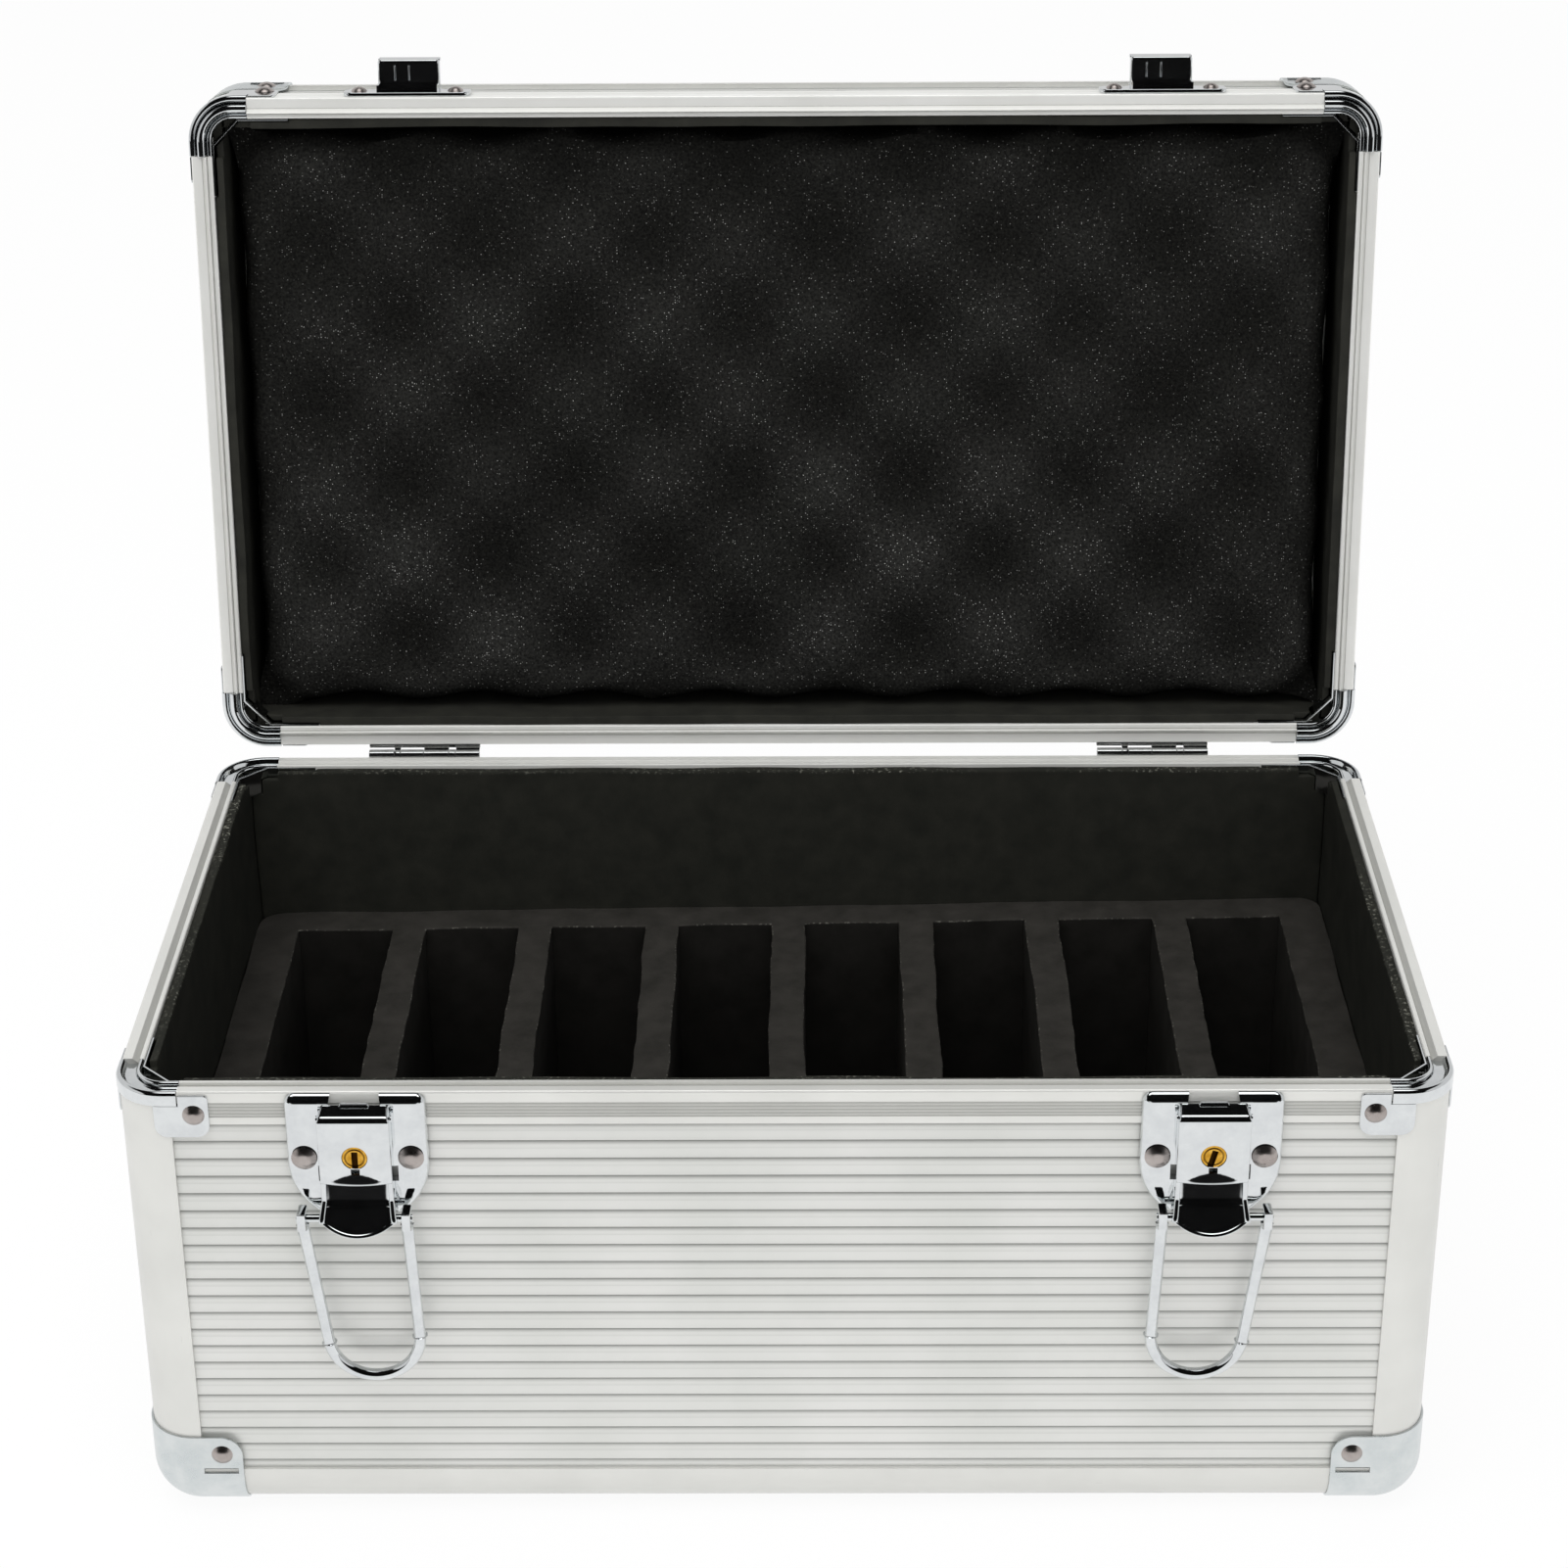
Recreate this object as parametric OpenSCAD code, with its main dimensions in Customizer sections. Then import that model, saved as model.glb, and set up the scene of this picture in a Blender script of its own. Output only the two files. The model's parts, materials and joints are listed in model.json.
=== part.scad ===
// Hard carrying case with a hinged lid, two key-lock draw latches and a slotted
// foam insert. The body stands on z = 0, the front faces -Y and the lid is open.

/* [Case] */
// Width of the case, along X
case_w = 350; // [300:1:430]
// Depth of the case, front to back
case_d = 200; // [165:1:250]
// Height of the body's rim above the ground
body_h = 136.5; // [112:0.5:170]
// Depth of the lid
lid_h = 40; // [36:0.5:60]
// Angle that the lid stands open
lid_open = 97.1; // [80:0.1:110]

/* [Panels and profiles] */
// Outer radius of the edge profiles
edge_r = 13; // [10:0.5:14]
// How far an edge profile covers each panel, from the corner
flange = 15; // [14.5:0.5:17]
// Wall of the profiles
skin = 1.2; // [0.8:0.1:2]
// Inner lip of the profiles
lip = 0.9; // [0.6:0.1:1.5]
// Thickness of the ribbed panels
panel_t = 4; // [3:0.5:6]
// Distance between two grooves of a panel
rib_pitch = 5.4; // [4:0.2:8]
// Depth of a panel groove
rib_depth = 0.4; // [0.2:0.1:0.8]
// Width of a panel groove
rib_gap = 0.6; // [0.4:0.1:1]
// Thickness of the side lining
lining_t = 2.9; // [2:0.1:5]

/* [Rims] */
// Height of the rim rail's outer flange
rim_flange = 10; // [8:0.5:12]
// Thickness of the rim's land, groove included
land_t = 3; // [2.5:0.1:4]
// Width of the rim's outer bead
bead_w = 1.5; // [1:0.1:2]
// Width of the groove in the body's rim
groove_w = 3.2; // [2.6:0.1:3.4]
// Depth of the groove in the body's rim
groove_d = 1.5; // [1:0.1:2]
// Gap between the two rims when the lid is shut
rim_gap = 0.2; // [0.1:0.05:0.5]
// Clearance of the lid's tongue in the groove, at each side
tongue_gap = 0.45; // [0.3:0.05:0.6]

/* [Corners] */
// Sheet thickness of the corner pieces
sheet = 0.7; // [0.5:0.1:1]
// Length of a rim corner along the rim
rim_corner_l = 17.1; // [17:0.1:20]
// How far a rim corner's skirt reaches along the wall
skirt_l = 25; // [24:0.5:28]
// Height of a rim corner's skirt
skirt_h = 13.5; // [12:0.5:13.5]
// Length of a ball corner along each edge
ball_l = 26; // [24:0.5:26]

/* [Foam] */
// Number of slots in the insert
slots = 8; // [4:1:8]
// Width of a slot
slot_w = 29; // [20:0.5:33]
// Length of a slot, front to back
slot_l = 158; // [120:1:158]
// Distance between the middles of two slots
slot_pitch = 39.4; // [36:0.1:39.6]
// Height of the insert's top above the ground
insert_top = 88.8; // [60:0.1:100]
// Thickness of the sheet under the insert
foam_base_t = 6; // [3:0.5:12]
// Distance of the lid foam's face from the lid's rim
lid_foam_in = 9; // [6:0.5:14]
// Gap between the lid foam and the lining
lid_foam_gap = 3; // [1:0.5:6]

/* [Latches] */
// Distance of each latch from the middle
latch_x = 111.5; // [80:0.5:120]
// Width of the latch plate
plate_w = 37; // [34:0.5:40]
// Height that the latch plate's face stands out
plate_rise = 2.2; // [1.8:0.1:2.4]
// Sheet thickness of the latch parts
latch_t = 1.2; // [1:0.1:1.3]
// Width of the lever
lever_w = 19.6; // [18:0.1:20]
// Diameter of the bail's wire
bail_wire = 3.2; // [2.8:0.1:3.6]
// Distance from the bail's pin to its outer end
bail_l = 51.4; // [49:0.1:52]
// Diameter of the lock's core
core_d = 6.6; // [5:0.1:7]

/* [Hinges] */
// Distance of each hinge from the middle
hinge_x = 113.2; // [80:0.1:125]
// Outer diameter of the hinge barrel
barrel_d = 3.8; // [3.4:0.1:4]
// Diameter of the hinge pin
hinge_pin_d = 1.9; // [1.6:0.1:2]
// Height of a hinge leaf
leaf_h = 20; // [16:0.5:22]
// Thickness of a hinge leaf
leaf_t = 1; // [0.8:0.1:1.2]

/* [Handle] */
// Length of the grip
grip_l = 92; // [80:1:110]
// Diameter of the grip
grip_d = 16; // [12:0.5:17]
// Distance from the pivot to the grip's middle
handle_reach = 34; // [28:1:40]

/* [Hidden] */
$fn = 64;

fit = 0.1;                          // clearance round a panel's edge
rim_w = skin + panel_t + lip;       // width of the rim's land
rim_z = body_h;                     // plane of the body's rim
lid_z = rim_z + rim_gap;            // plane of the lid's rim, shut
lid_top = lid_z + lid_h;            // outer plane of the lid's top, shut
ground = sheet;                     // the ball corners stand out below the rails
tongue_h = groove_d + rim_gap - 0.3;
tongue_v = bead_w + tongue_gap;
tongue_w = groove_w - 2 * tongue_gap;
inner_v = rim_w + lining_t;         // inner face of the lining, from outside

fine_grooves = 5;                   // decorative lines on a rim's flange
fine_pitch = 1;
fine_w = 0.45;
fine_d = 0.25;
fine_top = 3.7;                     // distance of the first line from the rim

first_rib = 17;                     // first panel groove above the rails' underside

crown_h = 4;                        // height of a rim corner's rolled edge
skirt_u = edge_r - 2.3;             // where its skirts start, from the corner
skirt_r = 3.5;                      // radius of a skirt's lower corners
gusset_l = 29;                      // end of a rim corner's inner strip
gusset_leg = 14;                    // where the strip leaves the wall
gusset_t = 0.6;
gusset_h = 7.5;
gusset_drop = 0.5;                  // the strip's edge lies under the rim

rivet_r = 1.6;                      // radius of a rivet's shank
rivet_in = skin + 0.7 * panel_t;    // depth that a shank reaches
head_r = 2.9;                       // heads on the corner pieces
latch_head_r = 3.4;                 // heads on the latch plates
small_head_r = 2.4;
head_h = 1.3;
rim_rivet_u = 21.2;                 // rivet of a rim corner, from the corner
rim_rivet_z = 6.7;                  // and from the body's rim
lid_rivet_z = 9.7;                  // and from the lid's rim
ball_rivet_u = 20.4;                // rivet of a ball corner, from the corner
ball_slit = [9.4, 1.4];
ball_slit_u = 19.8;
ball_slit_w = 14.2;
pad_r = 3.5;                        // formed dimple under a rivet

// latch: x along the case, y up from the plate's top edge, z out of the front
latch_top = rim_z - 0.3;
shield_y = -20.7;                   // where the plate's straight sides end
plate_rivet = [14, -18.6];
pivot = [4.6, -5.2];                // lever pivot: out of the front, up
pivot_r = 0.9;
bail_pin = [6.2, -34.6];            // bail pin: out of the front, up
bail_pin_r = 1.1;
run = 0.05;                         // radial clearance of a turning fit
lever_s = 7.6;                      // lever's front face, out of the front
core_y = -15.3;
ear_t = 2.4;                        // thickness of a bail's eye
ear_half = 2.7;
ear_span = 27.5;                    // distance between the two eyes
ear_shift = 1.3;                    // the bail sits to one side of the lever
arc_shift = 1.8;                    // and its bow to the other side
bow_r = 12.2;                       // radius of the bow, at the wire's middle

// catch: x along the case, y up from the lid's rim, z out of the front
catch_x = latch_x - 0.5;
hook_w = 18.3;
hook_out = 9.6;
hook_y = 12.7;
hook_lip = 3.2;
catch_w = 37.3;
catch_rivet = [14.2, 5.2];

// hinge: axis along X behind the back wall
hinge_y = case_d / 2 + barrel_d / 2 + 1.2;
hinge_z = rim_z - 1.1;
knuckles = [0, 7.8, 9.8, 17, 24.8, 26.9, 34.4];
hinge_w = knuckles[len(knuckles) - 1];
leaf_rivets = [[-11, 6.2], [11, 6.2], [0, 15.5]];
leaf_gap = 0.9;                     // from the axis to the leaf's turned edge

// handle: on the lid's top, folded towards the hinges, raised so that it hangs
// straight down while the lid stands open
handle_rise = lid_open - 90;
handle_z = lid_top + grip_d / 2 + 0.6;
eye_r = 6;
arm_t = 8;
handle_pin_r = 3;
lug_t = 5;
lug_gap = 0.3;
bracket_x = grip_l / 2 + lug_gap;
bracket_plate = [24, 30, 1.6];

// ---------------------------------------------------------------- frames

function wall_len(i) = i % 2 == 0 ? case_w : case_d;
function wall_out(i) = i % 2 == 0 ? case_d / 2 : case_w / 2;

// Wall i = 0 front, 1 right, 2 back, 3 left: x along it, y inwards, z up.
module wall(i) {
  rotate([0, 0, 90 * i]) translate([0, -wall_out(i), 0]) children();
}

// A corner of the plan: x and y inwards from the two outer planes.
module corner(right, back) {
  mirror([right, 0, 0]) mirror([0, back, 0])
    translate([-case_w / 2, -case_d / 2, 0]) children();
}

module every_corner() {
  for (right = [0, 1], back = [0, 1]) corner(right, back) children();
}

// On the front: x along the case, y up, z outwards.
module on_front(x, z) {
  translate([x, -case_d / 2, z]) rotate([90, 0, 0]) children();
}

// Extrudes a section whose x points inwards and y up, along a wall.
module along_wall(l) {
  translate([-l / 2, 0, 0]) rotate([90, 0, 90]) linear_extrude(l) children();
}

// Turns the shut lid to the angle that it stands open at.
module opened() {
  translate([0, hinge_y, hinge_z]) rotate([-lid_open, 0, 0])
    translate([0, -hinge_y, -hinge_z]) children();
}

// The lid's parts are drawn upside down, from its rim.
module from_lid_rim() {
  translate([0, 0, lid_z]) mirror([0, 0, 1]) children();
}

module from_lid_top() {
  translate([0, 0, lid_top]) mirror([0, 0, 1]) children();
}

module swapped() {
  mirror([1, -1, 0]) children();
}

// ---------------------------------------------------------------- sections

module quarter_ring(r_out, r_in) {
  intersection() {
    difference() {
      circle(r_out);
      circle(r_in);
    }
    translate([-r_out, -r_out]) square(r_out);
  }
}

// Edge profile: rounded outside, with a slot for each of two panels.
module edge_section() {
  translate([edge_r, edge_r]) quarter_ring(edge_r, edge_r - skin);
  edge_slot();
  swapped() edge_slot();
}

module edge_slot() {
  translate([edge_r, 0]) square([flange - edge_r, skin]);
  translate([edge_r - lip, skin / 2]) square([lip, rim_w - skin / 2]);
  translate([edge_r - lip, skin + panel_t]) square([flange - edge_r + lip, lip]);
}

// Land of a rim. y = 0 is the rim's plane and the mating side is up.
module land_section(is_lid, out = 0) {
  difference() {
    translate([-out, -land_t]) square([rim_w + out, land_t]);
    if (!is_lid) translate([bead_w, -groove_d]) square([groove_w, groove_d + 1]);
  }
  if (is_lid) translate([tongue_v, -0.5]) square([tongue_w, tongue_h + 0.5]);
}

module rim_section(is_lid) {
  difference() {
    union() {
      land_section(is_lid);
      translate([0, -rim_flange]) square([skin, rim_flange - 0.5]);
      translate([skin + panel_t, -rim_flange]) square([lip, rim_flange - 0.5]);
    }
    for (k = [0 : fine_grooves - 1])
      translate([-1, -fine_top - k * fine_pitch]) square([1 + fine_d, fine_w]);
  }
}

// ---------------------------------------------------------------- rivets

// Each rivet: [x along the wall, z, height of the face under its head, head radius]
function body_rivet_list(i) = concat(
  [for (s = [-1, 1]) [s * (wall_len(i) / 2 - rim_rivet_u), rim_z - rim_rivet_z, sheet, head_r]],
  [for (s = [-1, 1]) [s * (wall_len(i) / 2 - ball_rivet_u), ground + ball_rivet_u, sheet, head_r]],
  i != 0 ? [] : [for (s = [-1, 1], t = [-1, 1])
    [s * latch_x + t * plate_rivet[0], latch_top + plate_rivet[1], plate_rise, latch_head_r]],
  i != 2 ? [] : [for (s = [-1, 1], r = leaf_rivets)
    [s * hinge_x + r[0], hinge_z - r[1], leaf_t, small_head_r]]
);

function lid_rivet_list(i) = concat(
  [for (s = [-1, 1]) [s * (wall_len(i) / 2 - rim_rivet_u), lid_z + lid_rivet_z, sheet, head_r]],
  [for (s = [-1, 1]) [s * (wall_len(i) / 2 - ball_rivet_u), lid_top - ball_rivet_u, sheet, head_r]],
  i != 0 ? [] : [for (s = [-1, 1], t = [-1, 1])
    [s * catch_x + t * catch_rivet[0], lid_z + catch_rivet[1], latch_t, small_head_r]],
  i != 2 ? [] : [for (s = [-1, 1], r = leaf_rivets)
    [s * hinge_x + r[0], hinge_z + r[1], leaf_t, small_head_r]]
);

// The lid's top: [x, y, height of the face under its head, head radius]
top_rivet_list = concat(
  [for (s = [-1, 1], t = [-1, 1])
    [s * (case_w / 2 - ball_rivet_u), t * (case_d / 2 - ball_rivet_u), sheet, head_r]],
  [for (s = [-1, 1], t = [-1, 1])
    [s * (bracket_x + lug_t + 12), t * 10, bracket_plate[2], small_head_r]]
);

module rivet(rise, r) {
  ball_r = (r * r + head_h * head_h) / (2 * head_h);
  translate([0, 0, rise]) intersection() {
    translate([0, 0, head_h - ball_r]) sphere(ball_r);
    cylinder(r = r + 1, h = head_h + 1);
  }
  translate([0, 0, -rivet_in]) cylinder(r = rivet_r, h = rise + rivet_in + 0.2);
}

module rivets_on(i, list) {
  wall(i) for (p = list) translate([p[0], 0, p[1]]) rotate([90, 0, 0]) rivet(p[2], p[3]);
}

module rivet_holes(i, list) {
  wall(i) for (p = list)
    translate([p[0], rivet_in, p[1]]) rotate([90, 0, 0]) cylinder(r = rivet_r, h = rivet_in + 10);
}

module top_rivet_holes() {
  for (p = top_rivet_list)
    translate([p[0], p[1], lid_top - rivet_in]) cylinder(r = rivet_r, h = rivet_in + 10);
}

module body_rivets() {
  color("rosybrown") for (i = [0 : 3]) rivets_on(i, body_rivet_list(i));
}

module lid_rivets() {
  color("rosybrown") opened() {
    for (i = [0 : 3]) rivets_on(i, lid_rivet_list(i));
    for (p = top_rivet_list) translate([p[0], p[1], lid_top]) rivet(p[2], p[3]);
  }
}

// ---------------------------------------------------------------- panels

// A ribbed panel between two heights, grooved on its outer face.
module wall_panel(i, low, high, first) {
  ribs = floor((high - first - rib_gap) / rib_pitch);
  wall(i) along_wall(wall_len(i) - 2 * (edge_r + fit)) difference() {
    translate([skin, low]) square([panel_t, high - low]);
    for (k = [0 : ribs]) if (first + k * rib_pitch > low)
      translate([skin - 1, first + k * rib_pitch]) square([1 + rib_depth, rib_gap]);
  }
}

module body_panel(i) {
  color("gainsboro") difference() {
    wall_panel(i, ground + edge_r + fit, rim_z - land_t - fit, ground + first_rib);
    rivet_holes(i, body_rivet_list(i));
  }
}

module lid_walls() {
  color("gainsboro") opened() for (i = [0 : 3]) difference() {
    wall_panel(i, lid_z + land_t + fit, lid_top - edge_r - fit, lid_z + rim_flange + 2.4);
    rivet_holes(i, lid_rivet_list(i));
  }
}

// A flat panel across the case, grooved along X on its outer side, which is down.
module flat_panel() {
  w = case_w - 2 * (edge_r + fit);
  d = case_d - 2 * (edge_r + fit);
  ribs = floor((d / 2 - flange) / rib_pitch);
  along_wall(w) difference() {
    translate([-d / 2, skin]) square([d, panel_t]);
    for (k = [-ribs : ribs])
      translate([k * rib_pitch - rib_gap / 2, skin - 1]) square([rib_gap, 1 + rib_depth]);
  }
}

module floor_panel() {
  color("gainsboro") translate([0, 0, ground]) flat_panel();
}

module lid_panel() {
  color("gainsboro") opened() difference() {
    from_lid_top() flat_panel();
    top_rivet_holes();
  }
}

// ---------------------------------------------------------------- profiles

module post(right, back) {
  color("lightgray") corner(right, back) translate([0, 0, ground + flange])
    linear_extrude(rim_z - land_t - fit - ground - flange) edge_section();
}

module edge_rail(i) {
  wall(i) along_wall(wall_len(i) - 2 * (i % 2 == 0 ? edge_r : flange + fit)) edge_section();
}

module base_rail(i) {
  color("lightgray") translate([0, 0, ground]) edge_rail(i);
}

module rim_rail(i, is_lid) {
  wall(i) along_wall(wall_len(i) - 2 * rim_corner_l) rim_section(is_lid);
}

module body_rim_rail(i) {
  color("lightgray") difference() {
    translate([0, 0, rim_z]) rim_rail(i, false);
    rivet_holes(i, body_rivet_list(i));
  }
}

module lid_posts() {
  color("lightgray") opened() every_corner() translate([0, 0, lid_z + land_t + fit])
    linear_extrude(lid_h - land_t - fit - flange) edge_section();
}

module lid_edge_rails() {
  color("lightgray") opened() from_lid_top() for (i = [0 : 3]) edge_rail(i);
}

module lid_rim_rails() {
  color("lightgray") opened() for (i = [0 : 3]) difference() {
    from_lid_rim() rim_rail(i, true);
    rivet_holes(i, lid_rivet_list(i));
  }
}

// ---------------------------------------------------------------- corner pieces

module crown_section(is_lid) {
  land_section(is_lid, sheet);
  translate([-sheet, -crown_h]) square([sheet, crown_h - 0.5]);
}

// A plate with one rounded corner, from the origin to [w, h].
module tab(w, h, r) {
  square([w - r, h]);
  square([w, h - r]);
  translate([w - r, h - r]) circle(r);
}

// A plate with both upper corners rounded, from the origin to [w, h].
module round_tab(w, h, r) {
  square([w, h - r]);
  translate([r, 0]) square([w - 2 * r, h]);
  for (x = [r, w - r]) translate([x, h - r]) circle(r);
}

// Inner strip of a rim corner, which crosses the inner corner on the slant.
module gusset_plan(grow = 0) {
  a = rim_w - 2 * grow;
  b = rim_w + gusset_t + grow;
  m = gusset_leg - grow;
  n = gusset_leg + 0.41 * gusset_t + grow;
  e = gusset_l + grow;
  polygon([[e, a], [m, a], [a, m], [a, e], [b, e], [b, n], [n, b], [e, b]]);
}

module rim_corner_shape(is_lid, rivet_z) {
  difference() {
    union() {
      translate([edge_r, edge_r, 0]) rotate([0, 0, 180]) rotate_extrude(angle = 90)
        translate([edge_r, 0]) mirror([1, 0]) crown_section(is_lid);
      rim_corner_arm(is_lid);
      swapped() rim_corner_arm(is_lid);
      translate([0, 0, -gusset_drop - gusset_h]) linear_extrude(gusset_h) gusset_plan();
    }
    rim_corner_hole(rivet_z);
    swapped() rim_corner_hole(rivet_z);
  }
}

module rim_corner_arm(is_lid) {
  translate([edge_r, 0, 0]) rotate([90, 0, 90]) linear_extrude(rim_corner_l - edge_r)
    crown_section(is_lid);
  intersection() {
    translate([0, 0, -skirt_h]) linear_extrude(skirt_h - bead_w) {
      translate([edge_r, edge_r]) quarter_ring(edge_r + sheet, edge_r);
      translate([edge_r, -sheet]) square([skirt_l - edge_r, sheet]);
    }
    translate([skirt_u, 3, -bead_w]) rotate([90, 0, 0]) linear_extrude(5)
      mirror([0, 1]) round_tab(skirt_l - skirt_u, skirt_h - bead_w, skirt_r);
  }
}

module rim_corner_hole(rivet_z) {
  translate([rim_rivet_u, skin, -rivet_z]) rotate([90, 0, 0]) cylinder(r = rivet_r, h = 5);
}

module rim_corner(right, back) {
  color("white") corner(right, back) translate([0, 0, rim_z])
    rim_corner_shape(false, rim_rivet_z);
}

module lid_rim_corners() {
  color("white") opened() from_lid_rim() every_corner()
    rim_corner_shape(true, lid_rivet_z);
}

// Stamped corner: an eighth of a ball, three quarter-round sleeves and three
// face plates, with a rivet hole and a slit in each face plate but the underside.
module ball_corner_shape(all_faces) {
  difference() {
    union() {
      translate([edge_r, edge_r, edge_r]) rotate([0, 0, 180]) rotate_extrude(angle = 90)
        mirror([1, 0]) quarter_ring(edge_r + sheet, edge_r);
      for (k = [0 : 2]) rotate(a = 120 * k, v = [1, 1, 1]) {
        translate([edge_r, edge_r, edge_r]) linear_extrude(ball_l - edge_r)
          quarter_ring(edge_r + sheet, edge_r);
        translate([edge_r, edge_r, -sheet]) linear_extrude(sheet)
          tab(ball_l - edge_r, ball_l - edge_r, 6);
        if (k > 0 || all_faces) translate([ball_rivet_u, ball_rivet_u, -0.1])
          cylinder(r = pad_r, h = skin + 0.1);
      }
    }
    for (k = [0 : 2]) if (k > 0 || all_faces) rotate(a = 120 * k, v = [1, 1, 1])
      translate([ball_rivet_u, ball_rivet_u, -5]) cylinder(r = rivet_r, h = 10);
    rotate([90, 0, 0]) translate([0, 0, -1]) linear_extrude(5) slit_plan();
    swapped() rotate([90, 0, 0]) translate([0, 0, -1]) linear_extrude(5) slit_plan();
  }
}

module slit_plan() {
  translate([ball_slit_u - ball_slit[0] / 2, ball_slit_w]) square(ball_slit);
}

module ball_corner(right, back) {
  color("white") corner(right, back) translate([0, 0, ground]) ball_corner_shape(false);
}

module lid_ball_corners() {
  color("white") opened() from_lid_top() every_corner() ball_corner_shape(true);
}

// ---------------------------------------------------------------- lining, foam

// The front and back sheets stand between the side ones.
function sheet_end(i) = i % 2 == 0 ? inner_v + fit : rim_w;

// Four sheets, from z = 0 down to -h, notched round the rim corners.
module lining_sheets(h) {
  for (i = [0 : 3]) difference() {
    wall(i) translate([-wall_len(i) / 2 + sheet_end(i), rim_w, -h])
      cube([wall_len(i) - 2 * sheet_end(i), lining_t, h]);
    every_corner() {
      translate([0, 0, -gusset_drop - gusset_h - 0.3]) linear_extrude(20) gusset_plan(0.15);
      translate([0, 0, -land_t - 0.3]) cube([rim_corner_l + 0.3, rim_corner_l + 0.3, 20]);
    }
  }
}

module body_lining() {
  color("dimgray") translate([0, 0, rim_z]) intersection() {
    lining_sheets(rim_z - ground - rim_w);
    translate([-case_w, -case_d, -body_h]) cube([2 * case_w, 2 * case_d, body_h - 1]);
  }
}

module lid_lining() {
  color("dimgray") opened() from_lid_rim() intersection() {
    lining_sheets(lid_h - rim_w);
    translate([-case_w, -case_d, -lid_h]) cube([2 * case_w, 2 * case_d, lid_h - 1]);
  }
}

foam_w = case_w - 2 * inner_v - 0.6;
foam_d = case_d - 2 * inner_v - 0.6;

module foam_base() {
  color("dimgray") translate([-foam_w / 2, -foam_d / 2, ground + rim_w])
    cube([foam_w, foam_d, foam_base_t]);
}

module rounded_plan(w, d, r) {
  square([w, d - 2 * r], center = true);
  square([w - 2 * r, d], center = true);
  for (s = [-1, 1], t = [-1, 1]) translate([s * (w / 2 - r), t * (d / 2 - r)]) circle(r);
}

module foam_insert() {
  low = ground + rim_w + foam_base_t;
  color("dimgray") translate([0, 0, low]) linear_extrude(insert_top - low) difference() {
    rounded_plan(foam_w, foam_d, 7);
    for (k = [0 : slots - 1]) translate([(k - (slots - 1) / 2) * slot_pitch, 0])
      square([slot_w, slot_l], center = true);
  }
}

module lid_foam() {
  w = case_w - 2 * (inner_v + lid_foam_gap);
  d = case_d - 2 * (inner_v + lid_foam_gap);
  color("dimgray") opened() translate([0, 0, lid_z + lid_foam_in])
    linear_extrude(lid_h - lid_foam_in - rim_w) rounded_plan(w, d, 8);
}

// ---------------------------------------------------------------- hinges

module knuckle_row(mine) {
  for (k = [0 : len(knuckles) - 2]) if (k % 2 == mine)
    translate([knuckles[k] + run - hinge_w / 2, 0, 0]) rotate([90, 0, 90])
      linear_extrude(knuckles[k + 1] - knuckles[k] - 2 * run) children();
}

// Leaf below the hinge's axis. x runs along the axis, y outwards from the wall.
module leaf_shape(mine, drop, web_y) {
  axis_y = hinge_y - case_d / 2;
  difference() {
    union() {
      translate([-hinge_w / 2, 0, -leaf_h]) cube([hinge_w, leaf_t, leaf_h - drop]);
      knuckle_row(mine) {
        translate([axis_y, 0]) circle(d = barrel_d);
        translate([web_y, -barrel_d / 2]) square([axis_y - web_y, barrel_d / 2 - leaf_gap]);
        translate([web_y, -barrel_d / 2 - 0.2]) square([leaf_t - web_y, 0.7]);
      }
      translate([leaf_rivets[2][0], 0.1, -leaf_rivets[2][1]]) rotate([90, 0, 0])
        cylinder(r = pad_r, h = skin + 0.1);
    }
    translate([-hinge_w, axis_y, 0]) rotate([0, 90, 0])
      cylinder(d = hinge_pin_d + 2 * run, h = 2 * hinge_w);
    for (r = leaf_rivets) translate([r[0], 5, -r[1]]) rotate([90, 0, 0])
      cylinder(r = rivet_r, h = 10);
  }
}

module hinge_body_leaf(s) {
  color("silver") translate([s * hinge_x, case_d / 2, hinge_z]) leaf_shape(0, leaf_gap, 0);
}

module hinge_lid_leaf(s) {
  color("silver") opened() translate([s * hinge_x, case_d / 2, hinge_z]) mirror([0, 0, 1])
    leaf_shape(1, leaf_gap + 0.5, 0.3);
}

module hinge_pins() {
  color("silver") for (s = [-1, 1]) translate([s * hinge_x - hinge_w / 2, hinge_y, hinge_z])
    rotate([0, 90, 0]) cylinder(d = hinge_pin_d, h = hinge_w);
}

// ---------------------------------------------------------------- catches

module catch_plan() {
  translate([-hook_w / 2, 1.2]) square([hook_w, hook_y + 2.6 - 1.2]);
  difference() {
    translate([0, 5.2]) rounded_plan(catch_w, 8, 2.5);
    for (s = [-1, 1]) translate([s * (hook_w / 2 + 3.4), 11]) circle(3);
  }
}

module catch(s) {
  color("white") opened() on_front(s * catch_x, lid_z) difference() {
    union() {
      linear_extrude(latch_t) catch_plan();
      translate([-hook_w / 2, hook_y - latch_t, 0]) cube([hook_w, latch_t, hook_out]);
      translate([-hook_w / 2, hook_y - latch_t, hook_out - latch_t])
        cube([hook_w, hook_lip + latch_t, latch_t]);
      for (t = [-1, 1]) translate([t * (hook_w / 2 - latch_t / 2) - latch_t / 2, 0, 0])
        rotate([0, 90, 0]) linear_extrude(latch_t) mirror([1, 0])
          polygon([[0, 3], [latch_t, 3], [hook_out - 2, hook_y - latch_t],
                   [hook_out - 2, hook_y], [0, hook_y]]);
    }
    for (t = [-1, 1]) translate([t * catch_rivet[0], catch_rivet[1], -5])
      cylinder(r = rivet_r, h = 10);
  }
}

// ---------------------------------------------------------------- latches

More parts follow.
